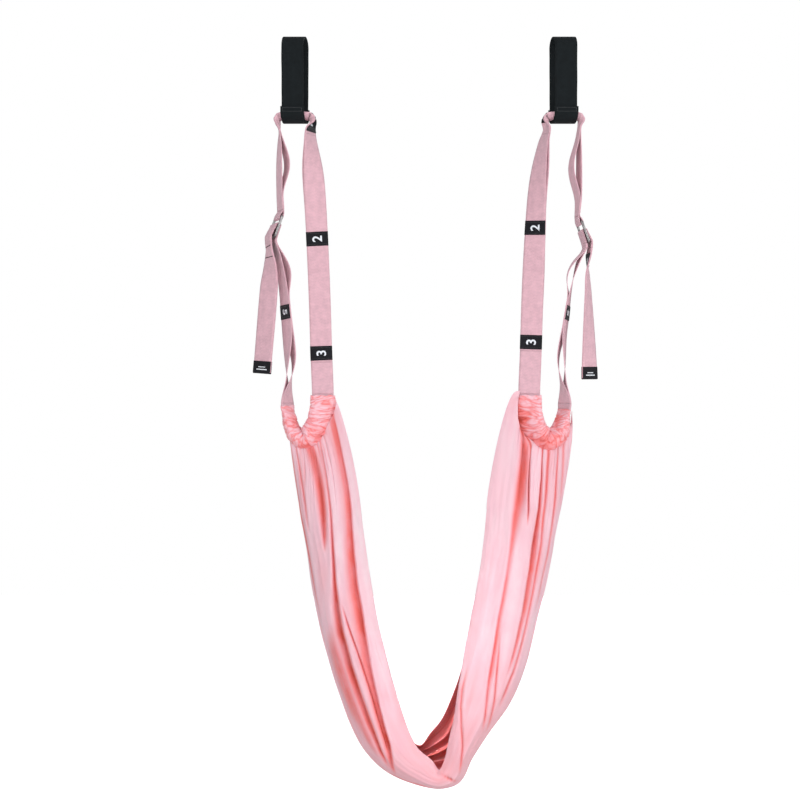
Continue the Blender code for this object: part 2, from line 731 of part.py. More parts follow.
def hang_on_pivots(routes):
    """The sling swings on the anchors, the hammock slides up and down, and the tails swing on their buckles."""
    sling = make_pivot("sling_pivot", Vector((0.0, 0.0, bight_axis_level())))
    hammock = make_pivot("hammock_slide", Vector((0.0, 0.0, CASING_BOTTOM)), sling)
    hang(CLOTH_STRETCHES, hammock)
    for prefix, route in routes.items():
        hang([f"{prefix}_{name}" for name in HAMMOCK_PIECES], hammock)
        hang([f"{prefix}_{name}" for name in SLING_PIECES], sling)
        label = make_pivot(f"{prefix}_label_5_slide", route.point(route.label_at(5), 0.5), sling)
        hang([f"{prefix}_label_5"], label)
        tail = make_pivot(f"{prefix}_tail_pivot", route.point(route.place("tail_top"), 0.5), sling)
        hang([f"{prefix}_web_tail"], tail)
        end = make_pivot(f"{prefix}_tail_end_slide", route.point(route.label_at(6), 0.5), tail)
        hang([f"{prefix}_label_6", f"{prefix}_tail_label"], end)


def main():
    clear_scene()
    materials = {
        "black web": make_material("black web", (0.015, 0.02, 0.023), 0.75),
        "web": make_material("web", (0.76, 0.45, 0.5), 0.8),
        "label": make_material("label", (0.012, 0.012, 0.015), 0.6),
        "buckle": make_material("buckle", (0.42, 0.4, 0.4), 0.35, 1.0),
        "cloth": make_material("cloth", (0.9, 0.36, 0.38), 0.85),
    }
    # Degrees that each stretch of web is turned, how far the hammock's end sways outward, how many label cells the
    # first three labels sit higher, and how far the buckle is let down. inner has the turns on the way down the inner
    # leg, and tail the mm outward and the turn on the way down the tail.
    turns = {
        "left": {
            "upper": radians(-19), "label_1": radians(19), "inner": (70, 88, 88, 88), "sway": 4 * MM, "label_lift": 0,
            "label_5": radians(-29), "buckle": radians(-20), "buckle_drop": 0.0,
            "tail": ((-1.3, -20), (-2.8, -39), (-0.8, -56), (9.7, -56), (11.9, -56)),
        },
        "right": {
            "upper": radians(8), "label_1": radians(13), "inner": (46, 66, 78, 84), "sway": -7 * MM, "label_lift": 5,
            "label_5": radians(-16), "buckle": radians(4), "buckle_drop": 10 * MM,
            "tail": ((-2.0, 4), (-4.0, -14), (-3.0, -22), (-1.0, -47), (-0.5, -49)),
        },
    }
    routes = {}
    for prefix, side in SIDES.items():
        routes[prefix] = build_side(prefix, side, turns[prefix], materials)
    build_cloth(routes, materials["cloth"])
    hang_on_pivots(routes)


main()
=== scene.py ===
"""Looks of the hanging yoga strap: gathered knit hammock, ribbed webs, number labels, slide buckles, anchor loops.

X runs along the bar, -Y is the front and +Z is up, in metres. Distances along a web are called s, and v is the share
of a width from one edge to the other.
"""

from math import cos, exp, pi, radians, sin

import bmesh
import bpy
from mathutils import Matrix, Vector, noise


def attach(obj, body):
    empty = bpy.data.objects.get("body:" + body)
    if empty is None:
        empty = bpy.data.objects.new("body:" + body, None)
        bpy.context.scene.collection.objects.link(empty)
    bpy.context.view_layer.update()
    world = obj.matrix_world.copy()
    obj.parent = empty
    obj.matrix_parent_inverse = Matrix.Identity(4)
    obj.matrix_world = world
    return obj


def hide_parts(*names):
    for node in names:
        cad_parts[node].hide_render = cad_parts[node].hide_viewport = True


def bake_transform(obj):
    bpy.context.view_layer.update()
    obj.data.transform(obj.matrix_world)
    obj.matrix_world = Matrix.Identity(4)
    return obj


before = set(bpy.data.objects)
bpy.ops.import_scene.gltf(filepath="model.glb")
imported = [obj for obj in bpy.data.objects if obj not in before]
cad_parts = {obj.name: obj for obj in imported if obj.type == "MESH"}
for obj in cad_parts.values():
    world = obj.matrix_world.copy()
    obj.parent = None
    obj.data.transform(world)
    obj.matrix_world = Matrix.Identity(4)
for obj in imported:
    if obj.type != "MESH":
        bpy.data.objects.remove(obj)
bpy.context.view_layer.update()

MM = 0.001
GAP = 0.3 * MM
SIDES = {"left": -1, "right": 1}

# Anchor loops
ANCHOR_SPACING = 469 * MM
BAR_RADIUS = 16.5 * MM
ANCHOR_WIDTH = 38 * MM
ANCHOR_THICKNESS = 2.5 * MM
ANCHOR_DROP = 130 * MM
BIGHT_RADIUS = 15 * MM
ANCHOR_SKEW = 3 * MM
LAP_HEIGHT = 27 * MM
LAP_EXTRA_WIDTH = 3 * MM
LAP_ROWS = (2.5 * MM, 9 * MM)
LAP_ROW_ENDS = (0.06, 0.94)

# Adjustable web, in two layers
WEB_WIDTH = 38 * MM
LAYER = 1.2 * MM
WEB_STACK = 2 * LAYER + GAP
# How far to each side of a point its direction is measured
PROBE = 0.5 * MM
SADDLE_BEND = 3 * MM
CURL_ENDS = (8 * MM, 16 * MM)
UPPER_BOW = 12 * MM
INNER_BOW = 4 * MM
LOWER_BOW = 9 * MM
# Where the layers are joined: from so many cells of its weave before label 1, and as far as this past label 3
SADDLE_CELLS = 17
THIRD_JOIN = 3 * MM
# Lengths of the mesh's cells, and how many lie across a web: plain, and where it curls over the anchor
WEB_CELL = 3 * MM
CURL_CELL = 2 * MM
TURN_CELL = 1 * MM
END_TURN_CELL = 1.2 * MM
ANCHOR_CELL = 2.5 * MM
WEB_ACROSS = 10
CURL_ACROSS = 28

# Number labels
LABEL_HEIGHT = 25 * MM
LABEL_THICKNESS = 0.5 * MM
# A label is this many cells high, and levels near it are counted in them
LABEL_CELLS = 7
LABEL_CELL = LABEL_HEIGHT / LABEL_CELLS
LABEL_PITCH = 200 * MM
LAST_LABEL_PITCH = 212 * MM
FIRST_LABEL_AT = 34 * MM
JOIN_MARGIN = 8 * MM
TAIL_LABEL_HEIGHT = 20 * MM
DIGIT_HEIGHT = 17 * MM
PRINT_THICKNESS = 0.15 * MM
PRINT_LIFT = 0.08 * MM
LABEL_ACROSS = 12
# White stripes on the tail's label: mm from its end and back, share of its width from and to
STRIPES = ((4.5, 6.3, 0.2, 0.8), (9.0, 10.4, 0.3, 0.7))
STRIPE_LAY = (20 * MM, 2 * MM)

# How far labels and stitches stand off the web under them
SEWN_GAP = 0.1 * MM
# Stitches: their pitch and the thread's radius
TACKS = (0.9 * MM, 0.4 * MM)
TACK_LEAN = 0.8 * MM
SEAM = (2.2 * MM, 0.3 * MM)
LAP_SEAM = (2.6 * MM, 0.45 * MM)

# Slide buckle
BUCKLE_WIDTH = 50 * MM
BUCKLE_HEIGHT = 40 * MM
BUCKLE_THICKNESS = 4 * MM
BUCKLE_BAR = 5 * MM
BUCKLE_CORNER = 4 * MM
BUCKLE_EDGE = 0.7 * MM
BUCKLE_BEVEL = 1.1 * MM
SLOT_CORNER = 2 * MM
BUCKLE_OUT = 269 * MM
BUCKLE_LEVEL = -313.5 * MM
BUCKLE_TILT = radians(20)
END_TURN_HEIGHT = 12 * MM
TAIL_HANG = 234 * MM
TAIL_MARGIN = 6 * MM

# Casing at each end of the cloth
CASING_WALL = 1.8 * MM
CASING_SKIN = 0.9 * MM
CASING_CELLS = (210, 130)
CASING_SIDE = WEB_WIDTH / 2 + CASING_WALL / 2 + 1.2 * MM
CASING_HUG = 4 * MM
CASING_MOUTH = 9 * MM
CASING_BULGE = 13.5 * MM
CASING_PUFF = 13 * MM
CASING_TRIM = {"left": 2 * MM, "right": 8 * MM}
CASING_SEED = {"left": 3.0, "right": 11.0}
# How far each casing's gathers stand out, the share along it at which they end, and where its hollow side is fullest
CASING_RUFFLE = {"left": (6 * MM, 0.7, 0.5), "right": (9 * MM, 1.0, 0.6)}
INNER_MOUTH_LEVEL = -606 * MM
OUTER_MOUTH_LEVEL = -622 * MM
CASING_OUT = 213 * MM
CASING_HALF_SPAN = 31 * MM
CASING_BOTTOM = -687 * MM
CASING_LIFT = 6 * MM
CASING_INSET = 2 * MM

# Hammock cloth, with its flat size and the size of its UV map in metres
CLOTH_LAY = (1.35, 0.5)
CLOTH_CELLS = (340, 230)
CLOTH_THICKNESS = 1.2 * MM
# The trough's section starts at the front hem, this far round from its top
HEM_ANGLE = radians(34)

SHARP_ANGLE = radians(40)
WHITE = (1.0, 1.0, 1.0)


def between(start, end, share):
    return start + (end - start) * share


def limited(share):
    return min(max(share, 0.0), 1.0)


def ease(share):
    """A smooth step from 0 to 1."""
    held = limited(share)
    return held * held * (3 - 2 * held)


def rough(x, y, z):
    """Smooth noise from about -1 to 1."""
    return noise.noise(Vector((x, y, z)))


def mirrored(side, point):
    """A point in the part's own frame, from one whose x is outward."""
    return Vector((side * point.x, point.y, point.z))


def distance(a, b):
    """From one row of numbers to another, by the first three of each."""
    return sum((p - q) ** 2 for p, q in zip(a[:3], b[:3])) ** 0.5


def spline(rows):
    """A smooth curve through rows of numbers, as a function of a share from 0 to 1, and its length."""
    lengths = [0.0]
    for a, b in zip(rows, rows[1:]):
        lengths.append(lengths[-1] + distance(a, b))
    total = lengths[-1]

    def slope(i, c):
        low, high = max(i - 1, 0), min(i + 1, len(rows) - 1)
        return (rows[high][c] - rows[low][c]) / (lengths[high] - lengths[low])

    def value(share):
        at = limited(share) * total
        i = 0
        while i < len(rows) - 2 and lengths[i + 1] < at:
            i += 1
        span = lengths[i + 1] - lengths[i]
        t = (at - lengths[i]) / span
        blend = (2 * t**3 - 3 * t**2 + 1, t**3 - 2 * t**2 + t, 3 * t**2 - 2 * t**3, t**3 - t**2)
        result = []
        for c in range(len(rows[0])):
            start, end = rows[i][c], rows[i + 1][c]
            result.append(
                blend[0] * start
                + blend[1] * span * slope(i, c)
                + blend[2] * end
                + blend[3] * span * slope(i + 1, c)
            )
        return result

    return value, total


# Shader groups


def new_group(name, inputs, outputs):
    """A node group with named sockets. inputs and outputs are rows of (name, socket type, value)."""
    group = bpy.data.node_groups.new(name, "ShaderNodeTree")
    for rows, in_out in ((inputs, "INPUT"), (outputs, "OUTPUT")):
        for row in rows:
            socket = group.interface.new_socket(row[0], in_out=in_out, socket_type=row[1])
            if len(row) > 2:
                socket.default_value = row[2]
    return group, group.nodes.new("NodeGroupInput"), group.nodes.new("NodeGroupOutput")


def fill(tree, node, inputs):
    """Gives a node's inputs, by name or number, a number, a colour or another node's output each."""
    for name, value in inputs.items():
        socket = node.inputs[name]
        if isinstance(value, bpy.types.NodeSocket):
            tree.links.new(value, socket)
        else:
            socket.default_value = (*value, 1.0) if isinstance(value, tuple) else value


def new_node(tree, kind, inputs, **settings):
    node = tree.nodes.new(kind)
    for name, value in settings.items():
        setattr(node, name, value)
    fill(tree, node, inputs)
    return node


def math_node(tree, operation, *values, clamp=False):
    """The result of a sum on numbers or other nodes' outputs."""
    inputs = dict(enumerate(values))
    return new_node(tree, "ShaderNodeMath", inputs, operation=operation, use_clamp=clamp).outputs[0]


def wave_node(tree, place, pitch):
    """A wave that comes round again after each pitch of place."""
    turned = math_node(tree, "MULTIPLY", place, 2 * pi)
    return math_node(tree, "SINE", math_node(tree, "DIVIDE", turned, pitch))


def noise_node(tree, vector, scale, detail=2.0, roughness=0.5):
    inputs = {"Scale": scale, "Detail": detail, "Roughness": roughness, "Vector": vector}
    return new_node(tree, "ShaderNodeTexNoise", inputs).outputs["Fac"]


def map_range(tree, value, limits):
    return new_node(tree, "ShaderNodeMapRange", {**limits, "Value": value}).outputs["Result"]


def colour_mix(tree, share, first, second):
    """A colour between two others, each a colour or another node's output."""
    inputs = {"Factor": share, "A": first, "B": second}
    return new_node(tree, "ShaderNodeMix", inputs, data_type="RGBA").outputs["Result"]


def ribbed_weave_group():
    """Ribs across a web, crossed by its warp threads. Vector is in metres along and across the web."""
    group, entry, result = new_group(
        "ribbed weave",
        [("Vector", "NodeSocketVector"), ("Rib", "NodeSocketFloat", 1.7 * MM), ("Warp", "NodeSocketFloat", 1.5 * MM)],
        [("Height", "NodeSocketFloat"), ("Shade", "NodeSocketFloat")],
    )
    vector = entry.outputs["Vector"]
    along, across, _ = new_node(group, "ShaderNodeSeparateXYZ", {0: vector}).outputs
    slanted = math_node(group, "ADD", along, math_node(group, "PINGPONG", across, 4.5 * MM))
    rib = wave_node(group, slanted, entry.outputs["Rib"])
    crossed = math_node(group, "MULTIPLY", rib, wave_node(group, across, entry.outputs["Warp"]))
    patchy = noise_node(group, vector, 90.0, 3.0, 0.6)
    shade = math_node(group, "ADD", math_node(group, "MULTIPLY", crossed, 0.28), patchy)
    fill(group, result, {"Height": crossed, "Shade": shade})
    return group


def knit_group():
    """Fine wales of a knit and its soft mottling. Vector is in metres along and across the cloth."""
    group, entry, result = new_group(
        "knit",
        [("Vector", "NodeSocketVector"), ("Wale", "NodeSocketFloat", 1.1 * MM)],
        [("Height", "NodeSocketFloat"), ("Mottle", "NodeSocketFloat")],
    )
    vector = entry.outputs["Vector"]
    along, across, _ = new_node(group, "ShaderNodeSeparateXYZ", {0: vector}).outputs
    wale, course = [wave_node(group, place, entry.outputs["Wale"]) for place in (across, along)]
    loops = math_node(group, "MULTIPLY", wale, course)
    fill(group, result, {"Height": loops, "Mottle": noise_node(group, vector, 22.0, 4.0, 0.6)})
    return group


def new_material(name, colour, roughness, metallic=0.0):
    material = bpy.data.materials.new(name)
    material.use_nodes = True
    tree = material.node_tree
    shader = tree.nodes["Principled BSDF"]
    fill(tree, shader, {"Base Color": colour, "Roughness": roughness, "Metallic": metallic})
    return material, tree, shader


def use_bump(tree, shader, height, distance):
    bump = new_node(tree, "ShaderNodeBump", {"Distance": distance, "Strength": 1.0, "Height": height})
    fill(tree, shader, {"Normal": bump.outputs["Normal"]})


def group_node(tree, group):
    """A node group over the piece's UV map."""
    lay = new_node(tree, "ShaderNodeUVMap", {}, uv_map="lay")
    return new_node(tree, "ShaderNodeGroup", {"Vector": lay.outputs["UV"]}, node_tree=group)


def object_place(tree):
    return new_node(tree, "ShaderNodeTexCoord", {}).outputs["Object"]


def woven_material(name, group, light, dark, roughness, sheen, pitches, bump, shine=0.5):
    """Webbing or label cloth: two thread colours over a ribbed weave, with a little sheen."""
    material, tree, shader = new_material(name, light, roughness)
    weave = group_node(tree, group)
    fill(tree, weave, {"Rib": pitches[0], "Warp": pitches[1]})
    share = map_range(tree, weave.outputs["Shade"], {"From Min": 0.15, "From Max": 0.85})
    fill(tree, shader, {
        "Base Color": colour_mix(tree, share, dark, light), "Specular IOR Level": shine,
        "Sheen Weight": sheen, "Sheen Roughness": 0.4,
    })
    use_bump(tree, shader, weave.outputs["Height"], bump)
    return material


# Painted shading of the cloth's folds: its pink painted paler on a crest at 0, to coral painted shade in a crease at 1
FOLD_SHADE_COLOURS = (
    (0.0, (0.96, 0.74, 0.79)), (0.16, (0.956, 0.59, 0.66)), (0.34, (0.93, 0.42, 0.46)), (0.54, (0.93, 0.255, 0.26)),
    (0.77, (0.84, 0.145, 0.13)), (1.0, (0.578, 0.053, 0.032)),
)


def cloth_material(name, group):
    """Knit with painted shading: paler pink painted on the crests of its folds and coral painted shade in their
    creases, with mauve patches.
    """
    material, tree, shader = new_material(name, (0.93, 0.42, 0.46), 0.72)
    knit = group_node(tree, group)
    # The fold attribute holds painted shade for the creases and painted highlight for the crests
    fold = new_node(tree, "ShaderNodeAttribute", {}, attribute_name="fold")
    ramp = new_node(tree, "ShaderNodeValToRGB", {"Fac": fold.outputs["Fac"]})
    stops = ramp.color_ramp.elements
    stops.remove(stops[1])
    for position, colour in FOLD_SHADE_COLOURS:
        stop = stops.new(position) if position else stops[0]
        stop.color = (*colour, 1.0)
    mauve = math_node(tree, "MULTIPLY", math_node(tree, "SUBTRACT", knit.outputs["Mottle"], 0.42, clamp=True), 1.1)
    fill(tree, shader, {
        "Base Color": colour_mix(tree, mauve, ramp.outputs["Color"], (0.88, 0.47, 0.565)),
        "Sheen Weight": 0.25, "Sheen Roughness": 0.35,
    })
    use_bump(tree, shader, knit.outputs["Height"], 0.12 * MM)
    return material


def metal_material(name):
    """Satin nickel with fine polishing marks and dull patches."""
    material, tree, shader = new_material(name, (0.46, 0.44, 0.43), 0.3, 1.0)
    place = object_place(tree)
    patches = noise_node(tree, place, 160.0, 4.0, 0.65)
    fill(tree, shader, {
        "Roughness": map_range(tree, patches, {"To Min": 0.2, "To Max": 0.42}),
        "Base Color": colour_mix(tree, patches, (0.2, 0.19, 0.19), (0.42, 0.4, 0.4)),
    })
    use_bump(tree, shader, noise_node(tree, place, 900.0), 0.03 * MM)
    return material


def thread_material(name, colour):
    """Sewing thread: a plain colour with a fine twist."""
    material, tree, shader = new_material(name, colour, 0.6)
    fill(tree, shader, {"Sheen Weight": 0.2})
    use_bump(tree, shader, noise_node(tree, object_place(tree), 1500.0), 0.05 * MM)
    return material


def make_materials():
    weave = ribbed_weave_group()
    knit = knit_group()
    return {
        "web": woven_material(
            "pink web", weave, (0.84, 0.505, 0.57), (0.6, 0.355, 0.41), 0.75, 0.25, (2.6 * MM, 2.4 * MM), 0.2 * MM,
        ),
        "black web": woven_material(
            "black web", weave, (0.007, 0.011, 0.013), (0.003, 0.005, 0.006), 0.75, 0.01, (2.2 * MM, 1.8 * MM),
            0.25 * MM, shine=0.2,
        ),
        "label": woven_material(
            "label cloth", weave, (0.01, 0.01, 0.014), (0.003, 0.003, 0.005), 0.55, 0.02, (0.8 * MM, 0.7 * MM),
            0.08 * MM, shine=0.2,
        ),
        "cloth": cloth_material("coral knit", knit),
        "nickel": metal_material("satin nickel"),
        "white thread": thread_material("white thread", (0.8, 0.83, 0.88)),
        "black thread": thread_material("black thread", (0.03, 0.032, 0.036)),
        "dark thread": thread_material("dark thread", (0.035, 0.012, 0.018)),
    }


# Pieces


def add_object(name, data):
    made = bpy.data.objects.new(name, data)
    bpy.context.scene.collection.objects.link(made)
    return made


def mesh_from(name, bm, material):
    mesh = bpy.data.meshes.new(name)
    bm.to_mesh(mesh)
    bm.free()
    mesh.materials.append(material)
    return mesh


def add_piece(name, bm, material):
    mesh = mesh_from(name, bm, material)
    mesh.shade_smooth()
    mesh.set_sharp_from_angle(angle=SHARP_ANGLE)
    piece = add_object(name, mesh)
    return piece


def thicken(piece, thickness):
    wall = piece.modifiers.new("Thickness", "SOLIDIFY")
    wall.thickness = thickness
    wall.offset = 0.0
    return piece


def sheet(name, surface, size, cells, thickness, material, closed=False, fold=None):
    """A band or cloth centred on surface(u, v), with u along it. Its UV map is in metres along and across."""
    bm = bmesh.new()
    bmesh.ops.create_grid(bm, x_segments=cells[0], y_segments=cells[1], size=0.5)
    lay = bm.loops.layers.uv.new("lay")
    # Where fold is given, this attribute holds the painted shading of the folds
    depth = bm.verts.layers.float.new("fold") if fold else None
    for face in bm.faces:
        for loop in face.loops:
            loop[lay].uv = ((loop.vert.co.x + 0.5) * size[0], (loop.vert.co.y + 0.5) * size[1])
    for vert in bm.verts:
        u, v = vert.co.x + 0.5, vert.co.y + 0.5
        vert.co = surface(u, v)
        if fold:
            vert[depth] = fold(u, v)
    if closed:
        bmesh.ops.remove_doubles(bm, verts=bm.verts, dist=0.01 * MM)
    bmesh.ops.recalc_face_normals(bm, faces=bm.faces)
    return thicken(add_piece(name, bm, material), thickness)


# The web's route


def buckle_frame(turn):
    """Centre and axes of the buckle, outward-positive: along its bars, up its height, and out of its face."""
    yaw = turn["buckle"]
    bars = Vector((-sin(yaw), cos(yaw), 0.0))
    level_out = Vector((cos(yaw), sin(yaw), 0.0))
    up = Vector((0, 0, 1)) * cos(BUCKLE_TILT) - level_out * sin(BUCKLE_TILT)
    face = level_out * cos(BUCKLE_TILT) + Vector((0, 0, 1)) * sin(BUCKLE_TILT)
    return Vector((BUCKLE_OUT, 0.0, BUCKLE_LEVEL - turn["buckle_drop"])), bars, up, face


def bar_height(index):
    """Height in the buckle of the middle of a bar: 1 is the top one, 0 the middle one, -1 the bottom one."""
    return index * (BUCKLE_HEIGHT - BUCKLE_BAR) / 2


def around_bar(pad, sign, steps=3):
    """(height, off) points from the buckle's back to its face round one end of a bar, pad away from it."""
    radius = BUCKLE_EDGE + pad
    half_height = BUCKLE_BAR / 2 - BUCKLE_EDGE
    half_thickness = BUCKLE_THICKNESS / 2 - BUCKLE_EDGE
    points = []
    for side in (-1, 1):
        corner = []
        for i in range(steps + 1):
            angle = pi / 2 * i / steps
            height = sign * (half_height + radius * sin(angle))
            corner.append((height, side * (half_thickness + radius * cos(angle))))
        points += corner if side < 0 else reversed(corner)
    return points


def bight_axis_level():
    return -ANCHOR_DROP + ANCHOR_THICKNESS + BIGHT_RADIUS


def lap_radius():
    return BIGHT_RADIUS + 2 * ANCHOR_THICKNESS + GAP


class Route:
    """The web's way round one side: outer leg, anchor bight, inner leg, casing, outer leg, buckle, tail."""

    def __init__(self, side, turns):
        self.side = side
        self.turns = turns
        rows = self.rows()
        self.marks = {name: i for i, (name, _) in enumerate(rows) if name}
        points = [row for _, row in rows]
        self.value, self.length = spline(points)
        self.at = [0.0]
        for a, b in zip(points, points[1:]):
            self.at.append(self.at[-1] + distance(a, b))

    def rows(self):
        turn = self.turns
        centre = ANCHOR_SPACING / 2
        saddle_level = -ANCHOR_DROP + ANCHOR_THICKNESS + GAP + WEB_STACK / 2
        lap_edge = (ANCHOR_WIDTH + LAP_EXTRA_WIDTH) / 2 + ANCHOR_SKEW * lap_radius() / BIGHT_RADIUS
        leg = lap_edge + 2 * GAP + WEB_STACK / 2
        bend = leg - SADDLE_BEND
        half_bend = SADDLE_BEND * (1 - cos(pi / 4))
        full = WEB_WIDTH / (BIGHT_RADIUS - GAP - WEB_STACK / 2)
        rows = []

        def add(out, z, angle, curl=0.0, y=0.0, name=None):
            rows.append((name, (out, y, z, angle, curl)))

        buckle, _, up, face = buckle_frame(turn)
        above_bar = buckle + up * (bar_height(1) + END_TURN_HEIGHT)
        add(above_bar.x, above_bar.z, turn["buckle"], name="top_bar")
        for share, turned in ((0.19, 1.0), (0.5, 1.0), (0.75, 0.7)):
            add(centre + leg, between(above_bar.z, saddle_level, share), turn["upper"] * turned)
        add(centre + leg, saddle_level - CURL_ENDS[1], turn["upper"] * 0.2, full * 0.1)
        add(centre + leg, saddle_level - CURL_ENDS[0], 0.0, full * 0.45)
        arch = [(leg, -SADDLE_BEND, 0.8), (leg - half_bend, -half_bend, 0.95), (bend, 0.0, 1.0)]
        for out, drop, share in arch:
            add(centre + out, saddle_level + drop, 0.0, full * share)
        add(centre, saddle_level, 0.0, full, name="bight")
        for out, drop, share in reversed(arch):
            add(centre - out, saddle_level + drop, 0.0, full * share)
        inner = centre - leg
        add(inner, saddle_level - CURL_ENDS[0], radians(6), full * 0.45)
        add(inner + turn["sway"] * 0.1, saddle_level - CURL_ENDS[1], turn["label_1"], full * 0.1)
        mouth = CASING_OUT + turn["sway"] - CASING_HALF_SPAN
        add(
            between(inner + turn["sway"] * 0.6, mouth, 0.13), between(saddle_level, INNER_MOUTH_LEVEL, 0.082),
            turn["label_1"] * 1.6,
        )
        inner += turn["sway"]
        way_down = ((0.42, 0.238), (0.62, 0.434), (0.79, 0.654), (0.9, 0.852))
        for (in_share, down), turned in zip(way_down, turn["inner"]):
            add(between(inner, mouth, in_share), between(saddle_level, INNER_MOUTH_LEVEL, down), radians(turned))
        add(mouth, INNER_MOUTH_LEVEL, radians(84), name="inner_mouth")
        for angle, turned in ((20, 62), (50, 36), (90, 12), (130, 10), (160, 20)):
            a = radians(angle)
            level = between(INNER_MOUTH_LEVEL, CASING_BOTTOM, sin(a)) - CASING_LIFT * (angle > 120)
            add(CASING_OUT + turn["sway"] - CASING_HALF_SPAN * cos(a), level, radians(turned))
        mouth += 2 * CASING_HALF_SPAN
        add(mouth, OUTER_MOUTH_LEVEL, radians(28), name="outer_mouth")
        pass_by = BUCKLE_THICKNESS / 2 + GAP + WEB_STACK / 2
        low_bar = bar_height(-1)
        entry = buckle + up * low_bar - face * pass_by
        leave = buckle + up * low_bar + face * pass_by
        mixed = (turn["label_5"] + turn["buckle"]) / 2
        for out, rise, turned, aside in (
            (-0.024, 0.144, 0.0, 0.0), (-0.04, 0.402, turn["label_5"], 0.0), (0.11, 0.554, turn["label_5"], 0.0),
            (0.366, 0.763, mixed, 0.5), (0.65, 0.88, turn["buckle"], 1.0),
        ):
            level = between(OUTER_MOUTH_LEVEL, entry.z, rise)
            add(between(mouth, entry.x, out), level, turned, y=entry.y * aside)
        way = [
            (low_bar - 9 * MM, -pass_by - 2.5 * MM, None),
            (low_bar - 1 * MM, -pass_by - 0.8 * MM, "buckle_in"),
            (low_bar / 2, -pass_by - 0.4 * MM, None),
            (-2 * MM, -pass_by - 0.2 * MM, None),
        ]
        way += [(*point, None) for point in around_bar(GAP + WEB_STACK / 2 + 0.3 * MM, 1)]
        way += [
            (-2 * MM, pass_by + 0.4 * MM, None),
            (low_bar / 2, pass_by + 1.6 * MM, None),
            (low_bar * 0.92, pass_by + 2.4 * MM, None),
            (low_bar * 1.12, pass_by + 2.6 * MM, None),
        ]
        for height, off, name in way:
            point = buckle + up * height + face * off
            rows.append((name, (point.x, point.y, point.z, turn["buckle"], 0.0)))
        tail_out = leave.x + 2.9 * MM
        tail_level = leave.z - 11.3 * MM
        add(tail_out, tail_level, turn["buckle"], y=leave.y, name="tail_top")
        for (out, turned), down in zip(turn["tail"], (0.06, 0.192, 0.342, 0.889, 1.0)):
            add(tail_out + out * MM, tail_level - TAIL_HANG * down, radians(turned), y=leave.y)
        return rows

    def place(self, name):
        """Distance along the route of a named row."""
        return self.at[self.marks[name]]

    def label_at(self, number):
        at = self.place("bight") + FIRST_LABEL_AT + (number - 1) * LABEL_PITCH
        at += (LAST_LABEL_PITCH - LABEL_PITCH) * (number == 6)
        return at - LABEL_CELL * self.turns["label_lift"] * (number <= 3)

    def frame(self, s):
        """Centre, across, tangent, face direction and curl of the web at distance s, outward-positive."""
        out, y, z, angle, curl = self.value(s / self.length)
        before = self.value((s - PROBE) / self.length)
        after = self.value((s + PROBE) / self.length)
        tangent = (Vector(after[:3]) - Vector(before[:3])).normalized()
        across = Vector((-sin(angle), cos(angle), 0.0))
        across = (across - tangent * across.dot(tangent)).normalized()
        return Vector((out, y, z)), across, tangent, across.cross(tangent), curl

    def middle(self, s, v):
        """A point half way through the web, at share v of its width, outward-positive."""
        centre, across, _, face, curl = self.frame(s)
        if curl < 0.01:
            return centre + across * (v - 0.5) * WEB_WIDTH
        radius = WEB_WIDTH / curl
        angle = (v - 0.5) * WEB_WIDTH / radius
        return centre + across * radius * sin(angle) + face * radius * (1 - cos(angle))

    def point(self, s, v, offset=0.0):
        """The same, in the part's own frame, and offset square to the web towards its labelled face."""
        place = self.middle(s, v)
        if offset:
            along = self.middle(s + PROBE, v) - self.middle(s - PROBE, v)
            over = self.middle(s, v + 0.01) - self.middle(s, v - 0.01)
            place += over.cross(along).normalized() * offset
        return mirrored(self.side, place)


def bow(s, spans):
    """How far two layers stand apart at distance s, as a share of the most, in the spans between their joins."""
    for low, high in spans:
        if low <= s <= high:
            return sin(pi * (s - low) / (high - low)) ** 2
    return 0.0


def build_layers(node, route, start, end, material, spans=(), bows=(0.0, 0.0), cell=WEB_CELL, across=WEB_ACROSS):
    """Two layers of web, one on each side of the route. With spans between their joins, they are nodes of their own
    and bow apart there. Without, they are sewn or pressed together, with a line between them at the edges."""
    layers = []
    for layer, sign, depth in (("face", 1, bows[0]), ("back", -1, bows[1])):
        def surface(u, v, sign=sign, depth=depth):
            s = between(start, end, u)
            return route.point(s, v, sign * ((GAP + LAYER) / 2 + depth * bow(s, spans)))

        cells = (round((end - start) / cell), across)
        name = f"{node}_{layer}"
        piece = sheet(f"{name}_woven", surface, (end - start, WEB_WIDTH), cells, LAYER, material)
        if spans:
            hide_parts(name)
        layers.append(piece)
    if not spans:
        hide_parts(node)
    return layers


def stitch(bm, start, end, radius):
    """One stitch of thread that bridges from start to end, sunk at both."""
    made = bmesh.ops.create_icosphere(bm, subdivisions=1, radius=1.0)
    along = end - start
    turn = Vector((1, 0, 0)).rotation_difference(along).to_matrix()
    middle = (start + end) / 2
    half = along.length / 2 + radius * 0.4
    for vert in made["verts"]:
        vert.co = middle + turn @ Vector((vert.co.x * half, vert.co.y * radius, vert.co.z * radius))


def stitch_rows(name, place, rows, kind, material, zigzag=0.0):
    """Rows of stitches. Each row is (s, v) at its start and end, and place(s, v) gives the surface point."""
    pitch, radius = kind
    bm = bmesh.new()
    for (s0, v0), (s1, v1) in rows:
        length = (place(s1, v1) - place(s0, v0)).length
        count = max(round(length / pitch), 1)
        share = 0.5 if zigzag else 0.38
        for i in range(count):
            a, b = (i + 0.5 - share) / count, (i + 0.5 + share) / count
            lean = zigzag * (1 if i % 2 else -1)
            start = place(between(s0, s1, a) - lean, between(v0, v1, a))
            end = place(between(s0, s1, b) + lean, between(v0, v1, b))
            stitch(bm, start, end, radius)
    return add_piece(name, bm, material)


# Anchors


ROUND_STEPS = 28


